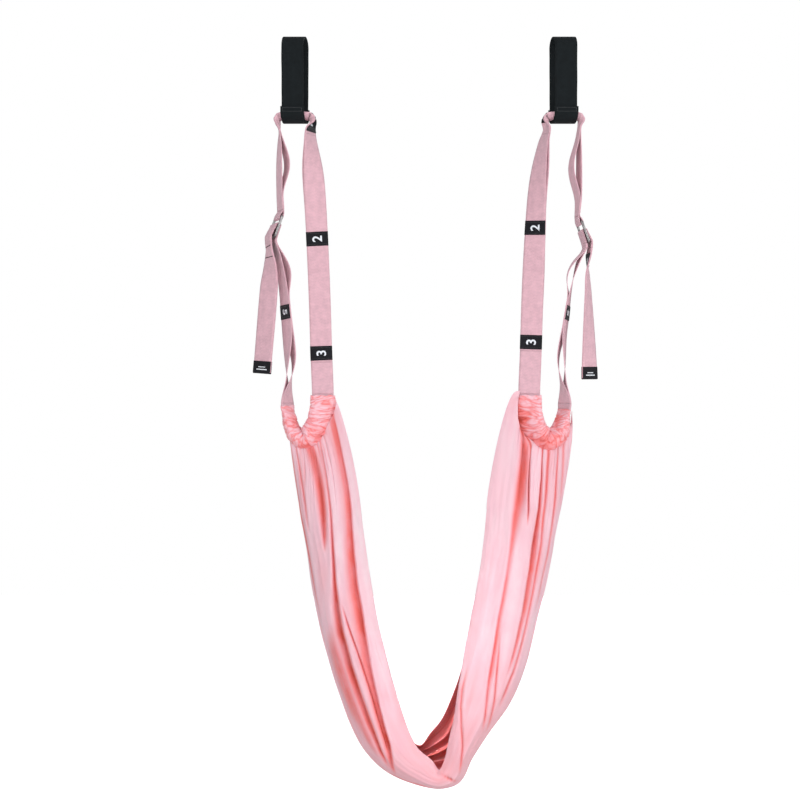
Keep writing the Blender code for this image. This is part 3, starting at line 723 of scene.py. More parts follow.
def anchor_loop_profile():
    """The loop's path in the YZ plane, at its middle thickness."""
    middle = ANCHOR_THICKNESS / 2
    points = []
    for radius, start, level in ((BAR_RADIUS, 0.0, 0.0), (BIGHT_RADIUS, pi, bight_axis_level())):
        for i in range(ROUND_STEPS + 1):
            angle = start + pi * i / ROUND_STEPS
            points.append(((radius + middle) * cos(angle), level + (radius + middle) * sin(angle)))
    points.append(points[0])
    return points


def lap_profile():
    """The lap's path in the same plane, from its top behind to its top in front."""
    radius = lap_radius() - ANCHOR_THICKNESS / 2
    level = bight_axis_level()
    top = level - lap_radius() + LAP_HEIGHT
    points = [(-radius, between(top, level, i / 6)) for i in range(6)]
    for i in range(ROUND_STEPS + 1):
        angle = pi + pi * i / ROUND_STEPS
        points.append((radius * cos(angle), level + radius * sin(angle)))
    points += [(radius, between(level, top, i / 6)) for i in range(1, 7)]
    return points


def build_anchor(prefix, side, materials):
    """The loop of black web over the bar and its sewn lap."""
    pieces = []
    for node, profile, width in (
        ("anchor_loop", anchor_loop_profile(), ANCHOR_WIDTH),
        ("anchor_lap", lap_profile(), ANCHOR_WIDTH + LAP_EXTRA_WIDTH),
    ):
        path, length = spline([(0.0, *point) for point in profile])

        def surface(u, v, path=path, width=width):
            _, y, z = path(u)
            wave = 0.5 * MM * rough(z * 25, v * 2, side)
            out = ANCHOR_SPACING / 2 + (v - 0.5) * width + wave
            return Vector((side * (out - ANCHOR_SKEW * y / BIGHT_RADIUS), y, z))

        name = f"{prefix}_{node}"
        cells = (round(length / ANCHOR_CELL), WEB_ACROSS)
        closed = node == "anchor_loop"
        piece = sheet(
            f"{name}_woven", surface, (length, width), cells, ANCHOR_THICKNESS, materials["black web"],
            closed=closed,
        )
        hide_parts(name)
        pieces.append(piece)
    top = bight_axis_level() - lap_radius() + LAP_HEIGHT

    def lap_face(s, v):
        out = ANCHOR_SPACING / 2 + (v - 0.5) * ANCHOR_WIDTH
        return Vector((side * (out + ANCHOR_SKEW * lap_radius() / BIGHT_RADIUS), -lap_radius() - SEWN_GAP, s))

    high, low = [top - down for down in LAP_ROWS]
    first, last = LAP_ROW_ENDS
    rows = [
        ((high, first), (high, last)), ((low, first), (low, last)),
        ((high, first), (low, first)), ((high, last), (low, last)),
    ]
    thread = stitch_rows(f"{prefix}_lap_stitches", lap_face, rows, LAP_SEAM, materials["black thread"])
    for piece in (*pieces, thread):
        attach(piece, "root")


# Labels


def digit_mesh(text, height):
    """A numeral as a flat mesh about the origin, height high."""
    curve = bpy.data.curves.new(f"digit {text}", "FONT")
    curve.body = text
    curve.align_x = "CENTER"
    curve.align_y = "CENTER"
    curve.offset = 0.018
    curve.resolution_u = 6
    holder = add_object("digit holder", curve)
    bpy.context.view_layer.update()
    mesh = bpy.data.meshes.new_from_object(holder.evaluated_get(bpy.context.evaluated_depsgraph_get()))
    bpy.data.objects.remove(holder)
    xs = [vert.co.x for vert in mesh.vertices]
    ys = [vert.co.y for vert in mesh.vertices]
    scale = height / (max(ys) - min(ys))
    middle = Vector(((max(xs) + min(xs)) / 2, (max(ys) + min(ys)) / 2, 0.0))
    for vert in mesh.vertices:
        vert.co = (vert.co - middle) * scale
    return mesh


def add_digit(name, route, at, text, offset, material):
    """A woven numeral, which lies on its side, with its top towards the left edge as seen from the front."""
    mesh = digit_mesh(text, DIGIT_HEIGHT)
    bm = bmesh.new()
    bm.from_mesh(mesh)
    bpy.data.meshes.remove(mesh)
    bmesh.ops.subdivide_edges(bm, edges=bm.edges, cuts=1, use_grid_fill=True)
    bmesh.ops.triangulate(bm, faces=bm.faces)
    for vert in bm.verts:
        s = at - vert.co.x
        v = 0.5 + route.side * vert.co.y / WEB_WIDTH
        vert.co = route.point(s, v, offset)
    bmesh.ops.recalc_face_normals(bm, faces=bm.faces)
    return thicken(add_piece(name, bm, material), PRINT_THICKNESS)


def build_label(prefix, number, route, materials, body):
    """A number label, its numeral and the bar tacks that hold it, which show on the web's reverse."""
    at = route.label_at(number)
    offset = WEB_STACK / 2 + LABEL_THICKNESS / 2 + SEWN_GAP
    half = LABEL_HEIGHT / 2

    def surface(u, v):
        return route.point(at + (u - 0.5) * LABEL_HEIGHT, between(-0.008, 1.008, v), offset)

    node = f"{prefix}_label_{number}"
    across = CURL_ACROSS if number == 1 else LABEL_ACROSS
    label = sheet(
        f"{node}_woven", surface, (LABEL_HEIGHT, WEB_WIDTH), (2 * LABEL_CELLS, across), LABEL_THICKNESS,
        materials["label"],
    )
    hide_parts(node)
    face = offset + LABEL_THICKNESS / 2 + PRINT_LIFT
    digit = add_digit(f"{node}_numeral", route, at, str(number), face, materials["white thread"])

    def reverse(s, v):
        return route.point(s, v, -WEB_STACK / 2 - SEWN_GAP)

    rows = [((at + sign * (half - 3 * MM), 0.04), (at + sign * (half - 3 * MM), 0.96)) for sign in (-1, 1)]
    tacks = stitch_rows(f"{node}_tacks", reverse, rows, TACKS, materials["dark thread"], TACK_LEAN)

    def front(s, v):
        return route.point(s, v, face - 0.05 * MM)

    seam = stitch_rows(f"{node}_seam", front, rows, SEAM, materials["black thread"])
    for piece in (label, digit, tacks, seam):
        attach(piece, body)


def build_tail_label(prefix, route, end, materials):
    """A label folded over the tail's end, with two plain white stripes."""
    reach = WEB_STACK / 2 + LABEL_THICKNESS / 2 + SEWN_GAP
    start = end - TAIL_LABEL_HEIGHT
    turn = [(between(start, end, i / 8), -reach) for i in range(9)]
    for i in range(1, 8):
        angle = -pi / 2 + pi * i / 8
        turn.append((end + reach * cos(angle), reach * sin(angle)))
    turn += [(between(end, start, i / 8), reach) for i in range(9)]
    path, length = spline([(s, offset, 0.0) for s, offset in turn])

    def surface(u, v):
        s, offset, _ = path(u)
        return route.point(s, between(-0.01, 1.01, v), offset)

    node = f"{prefix}_tail_label"
    label = sheet(
        f"{node}_woven", surface, (length, WEB_WIDTH), (40, WEB_ACROSS), LABEL_THICKNESS, materials["label"],
    )
    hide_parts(node)
    stripes = []
    for sign in (-1, 1):
        for row, (low, high, v0, v1) in enumerate(STRIPES):
            def mark(u, v, sign=sign, low=low, high=high, v0=v0, v1=v1):
                s = end - between(low, high, v) * MM
                return route.point(s, between(v0, v1, u), sign * (reach + LABEL_THICKNESS / 2 + PRINT_LIFT))

            face = "face" if sign > 0 else "back"
            stripes.append(sheet(
                f"{node}_stripe_{face}_{row + 1}", mark, STRIPE_LAY, (12, 2), PRINT_THICKNESS,
                materials["white thread"],
            ))
    for piece in (label, *stripes):
        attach(piece, f"{prefix}_tail_end")


# Buckle


def rounded_outline(bm, width, height, radius, segments):
    """Edges of a rectangle with round corners, in the XY plane about the origin."""
    verts = []
    for turn, (sx, sy) in enumerate(((1, 1), (-1, 1), (-1, -1), (1, -1))):
        for i in range(segments + 1):
            angle = pi / 2 * (turn + i / segments)
            x = sx * (width / 2 - radius) + radius * cos(angle)
            y = sy * (height / 2 - radius) + radius * sin(angle)
            verts.append(bm.verts.new((x, y, 0.0)))
    edges = [bm.edges.new((a, b)) for a, b in zip(verts, verts[1:] + verts[:1])]
    return verts, edges


def build_buckle(prefix, side, turn, material):
    """A flat three-bar slide with rounded edges."""
    slot_height = (BUCKLE_HEIGHT - 3 * BUCKLE_BAR) / 2
    slot_width = BUCKLE_WIDTH - 2 * BUCKLE_BAR
    bm = bmesh.new()
    _, edges = rounded_outline(bm, BUCKLE_WIDTH, BUCKLE_HEIGHT, BUCKLE_CORNER, 10)
    for sign in (-1, 1):
        verts, slot = rounded_outline(bm, slot_width, slot_height, SLOT_CORNER, 6)
        bmesh.ops.translate(bm, verts=verts, vec=(0.0, sign * (slot_height + BUCKLE_BAR) / 2, 0.0))
        edges += slot
    filled = bmesh.ops.triangle_fill(bm, edges=edges, use_beauty=True)
    faces = [part for part in filled["geom"] if isinstance(part, bmesh.types.BMFace)]
    raised = bmesh.ops.extrude_face_region(bm, geom=faces)
    top = [part for part in raised["geom"] if isinstance(part, bmesh.types.BMVert)]
    bmesh.ops.translate(bm, verts=top, vec=(0.0, 0.0, BUCKLE_THICKNESS))
    bmesh.ops.translate(bm, verts=bm.verts, vec=(0.0, 0.0, -BUCKLE_THICKNESS / 2))
    centre, bars, up, face = buckle_frame(turn)
    for vert in bm.verts:
        vert.co = mirrored(side, centre + bars * vert.co.x + up * vert.co.y + face * vert.co.z)
    bmesh.ops.recalc_face_normals(bm, faces=bm.faces)
    if bm.calc_volume(signed=True) < 0:
        bmesh.ops.reverse_faces(bm, faces=bm.faces)
    piece = add_piece(f"{prefix}_slide_buckle", bm, material)
    edge = piece.modifiers.new("Rounded edges", "BEVEL")
    edge.width = BUCKLE_BEVEL
    edge.segments = 4
    edge.limit_method = "ANGLE"
    edge.angle_limit = radians(60)
    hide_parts(f"{prefix}_buckle")
    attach(piece, "sling")


def build_end_turn(prefix, route, material):
    """The web's end, folded round the buckle's top bar so that both of its layers run up from it."""
    centre_point, bars, up, face = buckle_frame(route.turns)
    centre = centre_point + up * bar_height(1)
    middle = (GAP + LAYER) / 2
    pad = GAP + LAYER / 2
    shoulder = (BUCKLE_BAR / 2 + pad, BUCKLE_THICKNESS / 2 + pad)
    profile = [(shoulder[0], -shoulder[1]), *around_bar(pad, -1, 8), shoulder]
    points = [centre + up * height + face * off for height, off in profile]
    above, _, _, outward, _ = route.frame(route.place("top_bar"))
    points = [above - outward * middle, *points, above + outward * middle]
    path, length = spline([tuple(point) for point in points])

    def surface(u, v):
        return mirrored(route.side, Vector(path(u)) + bars * (v - 0.5) * WEB_WIDTH)

    node = f"{prefix}_web_end_turn"
    cells = (round(length / END_TURN_CELL), WEB_ACROSS)
    piece = sheet(f"{node}_woven", surface, (length, WEB_WIDTH), cells, LAYER, material)
    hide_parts(node)
    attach(piece, "sling")


# Casing and cloth


def casing_thick(share):
    """Half thickness of the casing, from its inner mouth at share 0 to its outer mouth at 1."""
    opened = ease(min(share, 1 - share) / 0.16)
    return between(CASING_HUG, between(CASING_MOUTH, CASING_BULGE, sin(pi * share) ** 2), opened)


def crumple(place, seed):
    """Crumpled cloth: from -1 in a crease to 1 on a crest, on a place whose creases run long along its y and z."""
    warp = 0.5 * noise.noise(place * 0.6 + Vector((seed, 4.0, 1.0)))
    moved = place + Vector((warp * 2.0, warp, seed))
    coarse = min(abs(noise.noise(moved)) / 0.26, 1.0)
    fine = min(abs(noise.noise(moved * 2.3 + Vector((5.0, seed, 8.0)))) / 0.3, 1.0)
    return 2 * (0.66 * coarse + 0.34 * fine) - 1


# Painted shade on the casings: how much more coral they are painted where the cloth leaves them, and patches of
# painted
# shade on them: mm outward, level in mm, radius in mm and how much more coral
CASING_EDGE_SHADE = {"left": 0.22, "right": 0.42}
CASING_SHADE_PATCHES = {
    "left": ((187, -678, 13, 0.3), (233, -651, 10, 0.25), (215, -694, 9, 0.15)),
    "right": ((163, -650, 12, 0.3), (160, -672, 10, 0.2), (205, -688, 20, 0.3), (222, -648, 7, 0.5)),
}


def build_casing(prefix, route, material):
    """The gathered sleeve that the web runs through."""
    start = route.place("inner_mouth") + CASING_INSET
    end = route.place("outer_mouth") - CASING_INSET - CASING_TRIM[prefix]
    seed = CASING_SEED[prefix]
    ruffle, fades, puff_at = CASING_RUFFLE[prefix]

    def wrinkle(u, angle):
        along = (end - start) * u
        place = Vector((along * 190 + cos(angle) * 1.4, cos(angle) * 0.9, sin(angle) * 0.9))
        return crumple(place, seed)

    def offset(u, angle):
        """A point of the sleeve, and how far it lies on the side where the cloth is gathered, from -1 to 1."""
        near_mouth = min(u, 1 - u)
        ragged = 2.5 * MM * rough(cos(angle) * 2, sin(angle) * 2, seed) * (1 - ease(near_mouth / 0.1))
        centre, across, tangent, face, _ = route.frame(between(start, end, u) + ragged)
        raised = 1.2 * MM * wrinkle(u, angle) * ease(near_mouth / 0.05)
        aside = across * (CASING_SIDE + raised * 0.7) * cos(angle) + face * (casing_thick(u) + raised) * sin(angle)
        outer = Vector((tangent.z, 0.0, -tangent.x)).normalized()
        reach = aside.dot(outer) / CASING_SIDE
        gathered = ruffle * ease(u / 0.15) * ease((fades - u) / 0.25) * (1 + 0.25 * wrinkle(u * 1.7, angle))
        puffed = CASING_PUFF * exp(-(((u - puff_at) / 0.22) ** 2))
        grown = gathered * max(reach, 0.0) ** 1.5 - puffed * max(-reach, 0.0) ** 1.5
        return centre + aside + outer * grown, reach

    def surface(u, v):
        point, _ = offset(u, 2 * pi * v)
        return mirrored(route.side, point)

    # Painted shading of the casing: painted shade in its wrinkles' creases, where the cloth leaves it, and in patches
    def fold(u, v):
        point, reach = offset(u, 2 * pi * v)
        tone = 0.43 - 0.24 * wrinkle(u, 2 * pi * v) + CASING_EDGE_SHADE[prefix] * max(reach, 0.0) ** 2 * ease(u / 0.12)
        place = mirrored(route.side, point)
        for out, level, radius, more in CASING_SHADE_PATCHES[prefix]:
            away = ((abs(place.x) / MM - out) ** 2 + (place.z / MM - level) ** 2) / radius**2
            tone += more * exp(-away)
        return limited(tone)

    node = f"{prefix}_casing"
    size = (end - start, 2 * (CASING_SIDE + CASING_BULGE))
    piece = sheet(
        f"{node}_gathered", surface, size, CASING_CELLS, CASING_SKIN, material, closed=True, fold=fold,
    )
    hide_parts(node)
    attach(piece, "hammock")
    return piece


# Stations down the left arm, round the bottom and up the right arm, in mm: front hem x, z, keel x, z, rear hem x, z,
# and half depth
CLOTH_STATIONS = [
    (-140, -690, -247, -700, -150, -710, 26),
    (-126, -746, -237, -755, -138, -765, 30),
    (-119, -805, -224, -822, -130, -822, 34),
    (-112, -863, -210, -890, -122, -880, 38),
    (-93, -980, -190, -1000, -103, -995, 42),
    (-65, -1097, -160, -1108, -76, -1110, 45),
    (-42, -1172, -125, -1200, -56, -1175, 48),
    (-22, -1216, -90, -1249, -34, -1214, 51),
    (3, -1239, -48, -1276, -14, -1227, 53),
    (17, -1256, 12, -1291, 4, -1204, 54),
    (26, -1240, 52, -1282, 22, -1182, 54),
    (33, -1207, 75, -1240, 37, -1152, 53),
    (41, -1170, 104, -1194, 50, -1118, 50),
    (48, -1126, 136, -1149, 60, -1088, 47),
    (57, -1076, 163, -1090, 72, -1042, 44),
    (73, -990, 187, -990, 88, -975, 41),
    (90, -895, 210, -897, 101, -890, 37),
    (101, -800, 230, -802, 112, -800, 33),
    (112, -730, 248, -735, 124, -735, 29),
    (124, -680, 257, -690, 140, -700, 26),
]

# Folds down the front of the cloth, each a list of (mm out to the right, level in mm, width to the left, width to the
# right, depth in mm, how much painted crease shade, or how much painted highlight where it is below zero)
FRONT_FOLDS = [
    [(-163, -645, 4, 2, 0, 0), (-153, -680, 7, 2, 4, 0.4), (-145, -722, 9, 2, 6, 0.5), (-138, -783, 10, 2, 6, 0.5),
     (-134, -844, 11, 2.5, 6, 0.55), (-132, -881, 12, 3, 6, 0.6), (-126, -937, 13, 3, 6, 0.65),
     (-118, -984, 13, 3, 6, 0.68), (-105, -1069, 11, 2.5, 6, 0.62), (-96, -1111, 10, 2, 6, 0.6),
     (-88, -1144, 9, 2, 6, 0.65), (-79, -1177, 8, 2, 6, 0.72), (-69, -1209, 7, 2, 6, 0.8),
     (-62, -1247, 4, 2, 2, 0.5), (-58, -1262, 2, 2, 0, 0)],
    [(-175, -680, 2, 2, 0, 0), (-174, -700, 2.5, 2, 4, 0.35), (-172, -783, 2.5, 2, 5, 0.3),
     (-169, -830, 2.5, 2, 5, 0.35),
     (-166, -881, 3, 2, 7, 0.6), (-163, -928, 4, 2.5, 8, 0.7), (-158, -975, 7, 3, 8, 0.75),
     (-150, -1017, 9, 3, 8, 0.75),
     (-137, -1069, 9, 3, 8, 0.72), (-121, -1120, 9, 3, 7, 0.65), (-102, -1172, 7, 3, 6, 0.6),
     (-83, -1219, 4, 2, 5, 0.65), (-67, -1252, 2, 2, 0, 0)],
    [(-153, -965, 1.5, 1.5, 0, 0), (-142, -998, 2, 1.5, 4, 0.5), (-129, -1036, 2, 1.5, 5, 0.6),
     (-114, -1083, 2, 2, 5, 0.65), (-99, -1130, 3, 2, 5, 0.7), (-90, -1160, 3, 2, 5, 0.75), (-76, -1205, 2, 2, 3, 0.8),
     (-66, -1240, 2, 2, 0, 0)],
    [(-197, -705, 7, 6, 0, 0.3), (-190, -741, 11, 7, 6, 0.6), (-185, -778, 10, 6, 8, 0.68), (-183, -816, 7, 5, 7, 0.6),
     (-182, -853, 3.5, 4, 5, 0.5), (-181, -880, 2, 2, 0, 0)],
    [(-244, -712, 2, 2, 0, 0.2), (-232, -778, 3, 2, 4, 0.45), (-222, -825, 3, 2, 4, 0.5), (-211, -881, 3, 2, 4, 0.5),
     (-204, -919, 3, 2, 3, 0.45), (-198, -956, 3, 2, 2, 0.3), (-187, -1003, 2, 2, 0, 0)],
    [(-230, -715, 2, 2, 0, 0), (-229, -722, 2, 3, 4, 0.35), (-221, -769, 2, 3, 4, 0.4), (-214, -806, 2, 2, 3, 0.35),
     (-209, -850, 2, 2, 0, 0)],
    [(-172, -1000, 6, 6, 0, 0), (-163, -1050, 10, 8, 0, 0.4), (-145, -1111, 10, 8, 0, 0.42),
     (-126, -1158, 9, 7, 0, 0.4),
     (-105, -1200, 6, 5, 0, 0.3), (-85, -1235, 3, 3, 0, 0)],
    [(-137, -722, 8, 8, 0, 0), (-127, -783, 8, 8, -1, -0.12), (-118, -881, 11, 11, -2, -0.15),
     (-104, -970, 13, 13, -2, -0.13), (-90, -1050, 15, 15, -2, -0.1), (-66, -1144, 17, 17, -1, -0.05),
     (-52, -1191, 17, 17, 0, 0)],
    [(-171, -690, 6, 6, 0, 0), (-164, -783, 8, 8, 0, -0.08), (-155, -881, 7, 7, 0, -0.08), (-150, -930, 5, 5, 0, 0)],
    [(153, -625, 2, 3, 0, 0.3), (153, -642, 2, 4, 6, 0.7), (154, -675, 2, 5, 8, 0.8), (155, -722, 3, 7, 9, 0.75),
     (157, -759, 6, 8, 9, 0.7), (155, -783, 7, 9, 8, 0.62), (147, -825, 5, 8, 6, 0.45), (140, -872, 3, 5, 4, 0.35),
     (133, -919, 2.5, 4, 4, 0.35), (126, -956, 2.5, 4, 4, 0.4), (119, -994, 2.5, 4, 4, 0.45),
     (113, -1036, 2.5, 4, 5, 0.5), (106, -1078, 2.5, 4, 5, 0.45), (99, -1120, 2, 3, 4, 0.4), (95, -1158, 2, 2, 3, 0.4),
     (90, -1191, 2, 2, 0, 0)],
    [(163, -686, 1.5, 1.5, 0, 0.3), (164, -694, 2, 1.5, 5, 0.7), (167, -736, 2, 1.5, 6, 0.75),
     (170, -778, 2, 1.5, 7, 0.8),
     (171, -806, 2, 1.5, 5, 0.7), (169, -834, 1.5, 1.5, 0, 0)],
    [(182, -690, 1.5, 1.5, 0, 0.3), (184, -700, 2, 2, 5, 0.6), (188, -736, 2, 2.5, 6, 0.6), (191, -769, 2, 3, 7, 0.65),
     (189, -802, 2, 4, 7, 0.65), (184, -834, 2, 6, 7, 0.65), (177, -872, 2, 7, 7, 0.65), (173, -909, 2, 7, 6, 0.6),
     (166, -947, 2, 7, 5, 0.55), (160, -984, 2, 6, 5, 0.5), (151, -1027, 2, 4, 4, 0.45), (143, -1059, 2, 3, 3, 0.4),
     (134, -1092, 2, 2, 0, 0)],
    [(199, -692, 2, 2, 0, 0.2), (200, -703, 2, 2.5, 4, 0.45), (202, -741, 2.5, 3, 5, 0.5), (201, -783, 3, 3, 5, 0.5),
     (196, -825, 2.5, 3, 4, 0.45), (193, -862, 2, 3, 4, 0.4), (180, -937, 2, 3, 3, 0.4), (165, -1012, 2, 3, 3, 0.4),
     (155, -1050, 2, 3, 3, 0.4), (144, -1087, 2, 3, 3, 0.4), (130, -1120, 2, 3, 3, 0.4), (118, -1148, 2, 2, 0, 0)],
    [(217, -690, 2, 2, 0, 0.2), (218, -698, 2, 2, 3, 0.4), (220, -745, 2, 2.5, 4, 0.42), (217, -792, 2, 2.5, 4, 0.42),
     (212, -839, 2, 2.5, 3, 0.38), (205, -881, 2, 2.5, 3, 0.35), (197, -919, 2, 2, 2, 0.3), (181, -994, 2, 2, 0, 0)],
    [(236, -668, 2, 2, 0, 0.2), (234, -690, 2, 2, 3, 0.35), (233, -722, 2, 2, 3, 0.35), (230, -769, 2, 2, 2, 0.3),
     (226, -806, 2, 2, 0, 0)],
    [(122, -1005, 1.5, 1.5, 0, 0), (118, -1059, 2, 2, 3, 0.4), (115, -1097, 2, 2, 3, 0.4), (111, -1134, 2, 2, 3, 0.4),
     (104, -1167, 2, 2, 2, 0.35), (97, -1191, 1.5, 1.5, 0, 0)],
    [(67, -1075, 1.5, 1.5, 0, 0), (57, -1116, 2, 2, 2, 0.35), (54, -1144, 2, 2, 3, 0.4), (54.5, -1177, 2, 2, 3, 0.4),
     (56, -1209, 2, 2, 3, 0.35), (54, -1237, 2, 2, 3, 0.35), (50, -1262, 2, 2, 0, 0)],
    [(130, -690, 10, 10, 0, 0), (123, -783, 14, 14, 0, -0.05), (112, -881, 15, 15, 0, -0.05),
     (97, -970, 13, 13, 0, -0.05),
     (85, -1050, 12, 12, 0, 0)],
    [(150, -850, 5, 5, 0, 0), (149, -881, 8, 8, 0, -0.1), (140, -970, 9, 9, 0, -0.12), (130, -1050, 6, 6, 0, -0.12),
     (124, -1090, 4, 4, 0, 0)],
    [(-70, -1258, 1.5, 1.5, 0, 0), (-56, -1268, 2, 2, 2, 0.3), (-40, -1274, 2, 2, 2, 0.3), (-16, -1279, 2, 2, 2, 0.3),
     (12, -1286, 2, 2, 0, 0)],
    [(18, -1257, 1.5, 1.5, 0, 0), (36, -1266, 2, 2, 3, 0.4), (52, -1274, 2, 2, 0, 0)],
]

# Folds down the rear, each a list of (share along the cloth, share round the open trough, depth in mm, width as a
# share round the trough)
REAR_FOLDS = [
    [(0.08, 0.56, 0, 0.014), (0.2, 0.56, 16, 0.016), (0.8, 0.56, 16, 0.016), (0.92, 0.56, 0, 0.014)],
    [(0.1, 0.64, 0, 0.014), (0.25, 0.64, 20, 0.016), (0.75, 0.64, 20, 0.016), (0.9, 0.64, 0, 0.014)],
    [(0.1, 0.73, 0, 0.014), (0.25, 0.72, 16, 0.016), (0.75, 0.72, 16, 0.016), (0.9, 0.73, 0, 0.014)],
    [(0.12, 0.8, 0, 0.012), (0.28, 0.8, 18, 0.015), (0.72, 0.8, 18, 0.015), (0.88, 0.8, 0, 0.012)],
    [(0.15, 0.88, 0, 0.012), (0.3, 0.88, 12, 0.014), (0.7, 0.88, 12, 0.014), (0.85, 0.88, 0, 0.012)],
]
# Shares along the cloth: where it has left the line of the casing, and where the trough is fully open
SEAM_BLEND = 0.1
OPENS_OVER = 0.24

# The line just inside each casing that the cloth hangs from, from its front hem to its rear hem: share across the
# cloth, then mm outward, mm to the rear and level in mm
SEAMS = {
    "left": [
        (0, 163, -4, -620), (0.05, 164, -5, -630), (0.1, 168, -5, -643), (0.17, 175, -5, -655), (0.2, 179, -5, -664),
        (0.23, 184, -5, -676), (0.28, 192, -4, -686), (0.36, 204, -3, -691), (0.45, 218, -3, -691),
        (0.6, 234, -3, -681), (0.78, 244, -3, -667), (1, 248, 4, -652),
    ],
    "right": [
        (0, 159, -4, -600), (0.05, 156, -5, -612), (0.1, 154.5, -5, -626), (0.17, 155, -5, -648),
        (0.2, 158, -5, -662), (0.24, 166, -5, -678), (0.3, 182, -5, -689), (0.4, 203, -3, -692), (0.55, 226, -3, -684),
        (0.7, 243, -3, -670), (0.84, 250, 0, -654), (1, 250, 5, -636),
    ],
}

# How far the front hem stands in from the line between its ends, just under each casing
FLAPS = {"left": 3 * MM, "right": 13 * MM}


def along_rows(rows, u):
    """Values between rows whose first number is the share along, or None outside them."""
    if u <= rows[0][0] or u >= rows[-1][0]:
        return None
    for a, b in zip(rows, rows[1:]):
        if u <= b[0]:
            share = ease((u - a[0]) / (b[0] - a[0]))
            return [between(p, q, share) for p, q in zip(a[1:], b[1:])]


def fold_reach(rows):
    """The box that a front fold can change: least and greatest x, least and greatest level."""
    wide = 2.6 * max(max(row[2], row[3]) for row in rows)
    across, levels = [row[0] for row in rows], [row[1] for row in rows]
    return min(across) - wide, max(across) + wide, min(levels) - wide, max(levels) + wide


FOLD_REACHES = [fold_reach(rows) for rows in FRONT_FOLDS]
FOLD_SHADE_GAIN = 1.35


def front_folds(x, z):
    """How far the front is folded in at x and level z in mm, and its painted shading there: painted crease shade, less
    painted highlight.
    """
    inward, coral, pale = 0.0, 0.0, 0.0
    for rows, (least, most, low, high) in zip(FRONT_FOLDS, FOLD_REACHES):
        if not (least < x < most and low < z < high):
            continue
        nearest = None
        for a, b in zip(rows, rows[1:]):
            run, rise = b[0] - a[0], b[1] - a[1]
            share = ((x - a[0]) * run + (z - a[1]) * rise) / (run * run + rise * rise)
            share = limited(share)
            off_x, off_z = x - a[0] - run * share, z - a[1] - rise * share
            away = off_x * off_x + off_z * off_z
            if nearest is None or away < nearest[0]:
                nearest = (away, share, a, b, run * off_z - rise * off_x)
        away, share, a, b, side = nearest
        left, right, depth, tone = [between(p, q, share) for p, q in zip(a[2:], b[2:])]
        away = away**0.5 / (right if side > 0 else left)
        groove = exp(-(away**2))
        lips = exp(-((away - 2.0) ** 2) / 1.2)
        inward += depth * (groove - 0.25 * lips)
        # coral gathers the painted shade of the creases, pale the painted highlight on the crests
        coral = max(coral, tone * groove)
        pale = min(pale, tone * groove)
    return inward * MM, coral * FOLD_SHADE_GAIN + pale


def rear_folds(u, w):
    """How far the cloth is drawn in at share w round the trough, and how much painted shade its crease gets there."""
    inward, painted_shading = 0.0, 0.0
    for rows in REAR_FOLDS:
        found = along_rows(rows, u)
        if not found:
            continue
        at, depth, width = found
        at += 0.006 * rough(u * 14, at * 40, 2.0)
        away = abs(w - at) / width
        if away > 6:
            continue
        groove = exp(-(away**2))
        lips = exp(-((away - 2.2) ** 2) / 1.4)
        inward += depth * MM * (groove - 0.3 * lips)
        # Painted shade in the crease, stronger where the fold is deeper
        painted_shading = max(painted_shading, groove * min(depth / 14, 0.6))
    return inward, painted_shading


def cloth_seam(side, v):
    """Where the cloth leaves the casing: its front hem by the inner mouth, its rear hem by the outer one."""
    place = along_rows(SEAMS[side], min(max(v, 0.001), 0.999))
    return Vector((SIDES[side] * place[0], place[1], place[2])) * MM


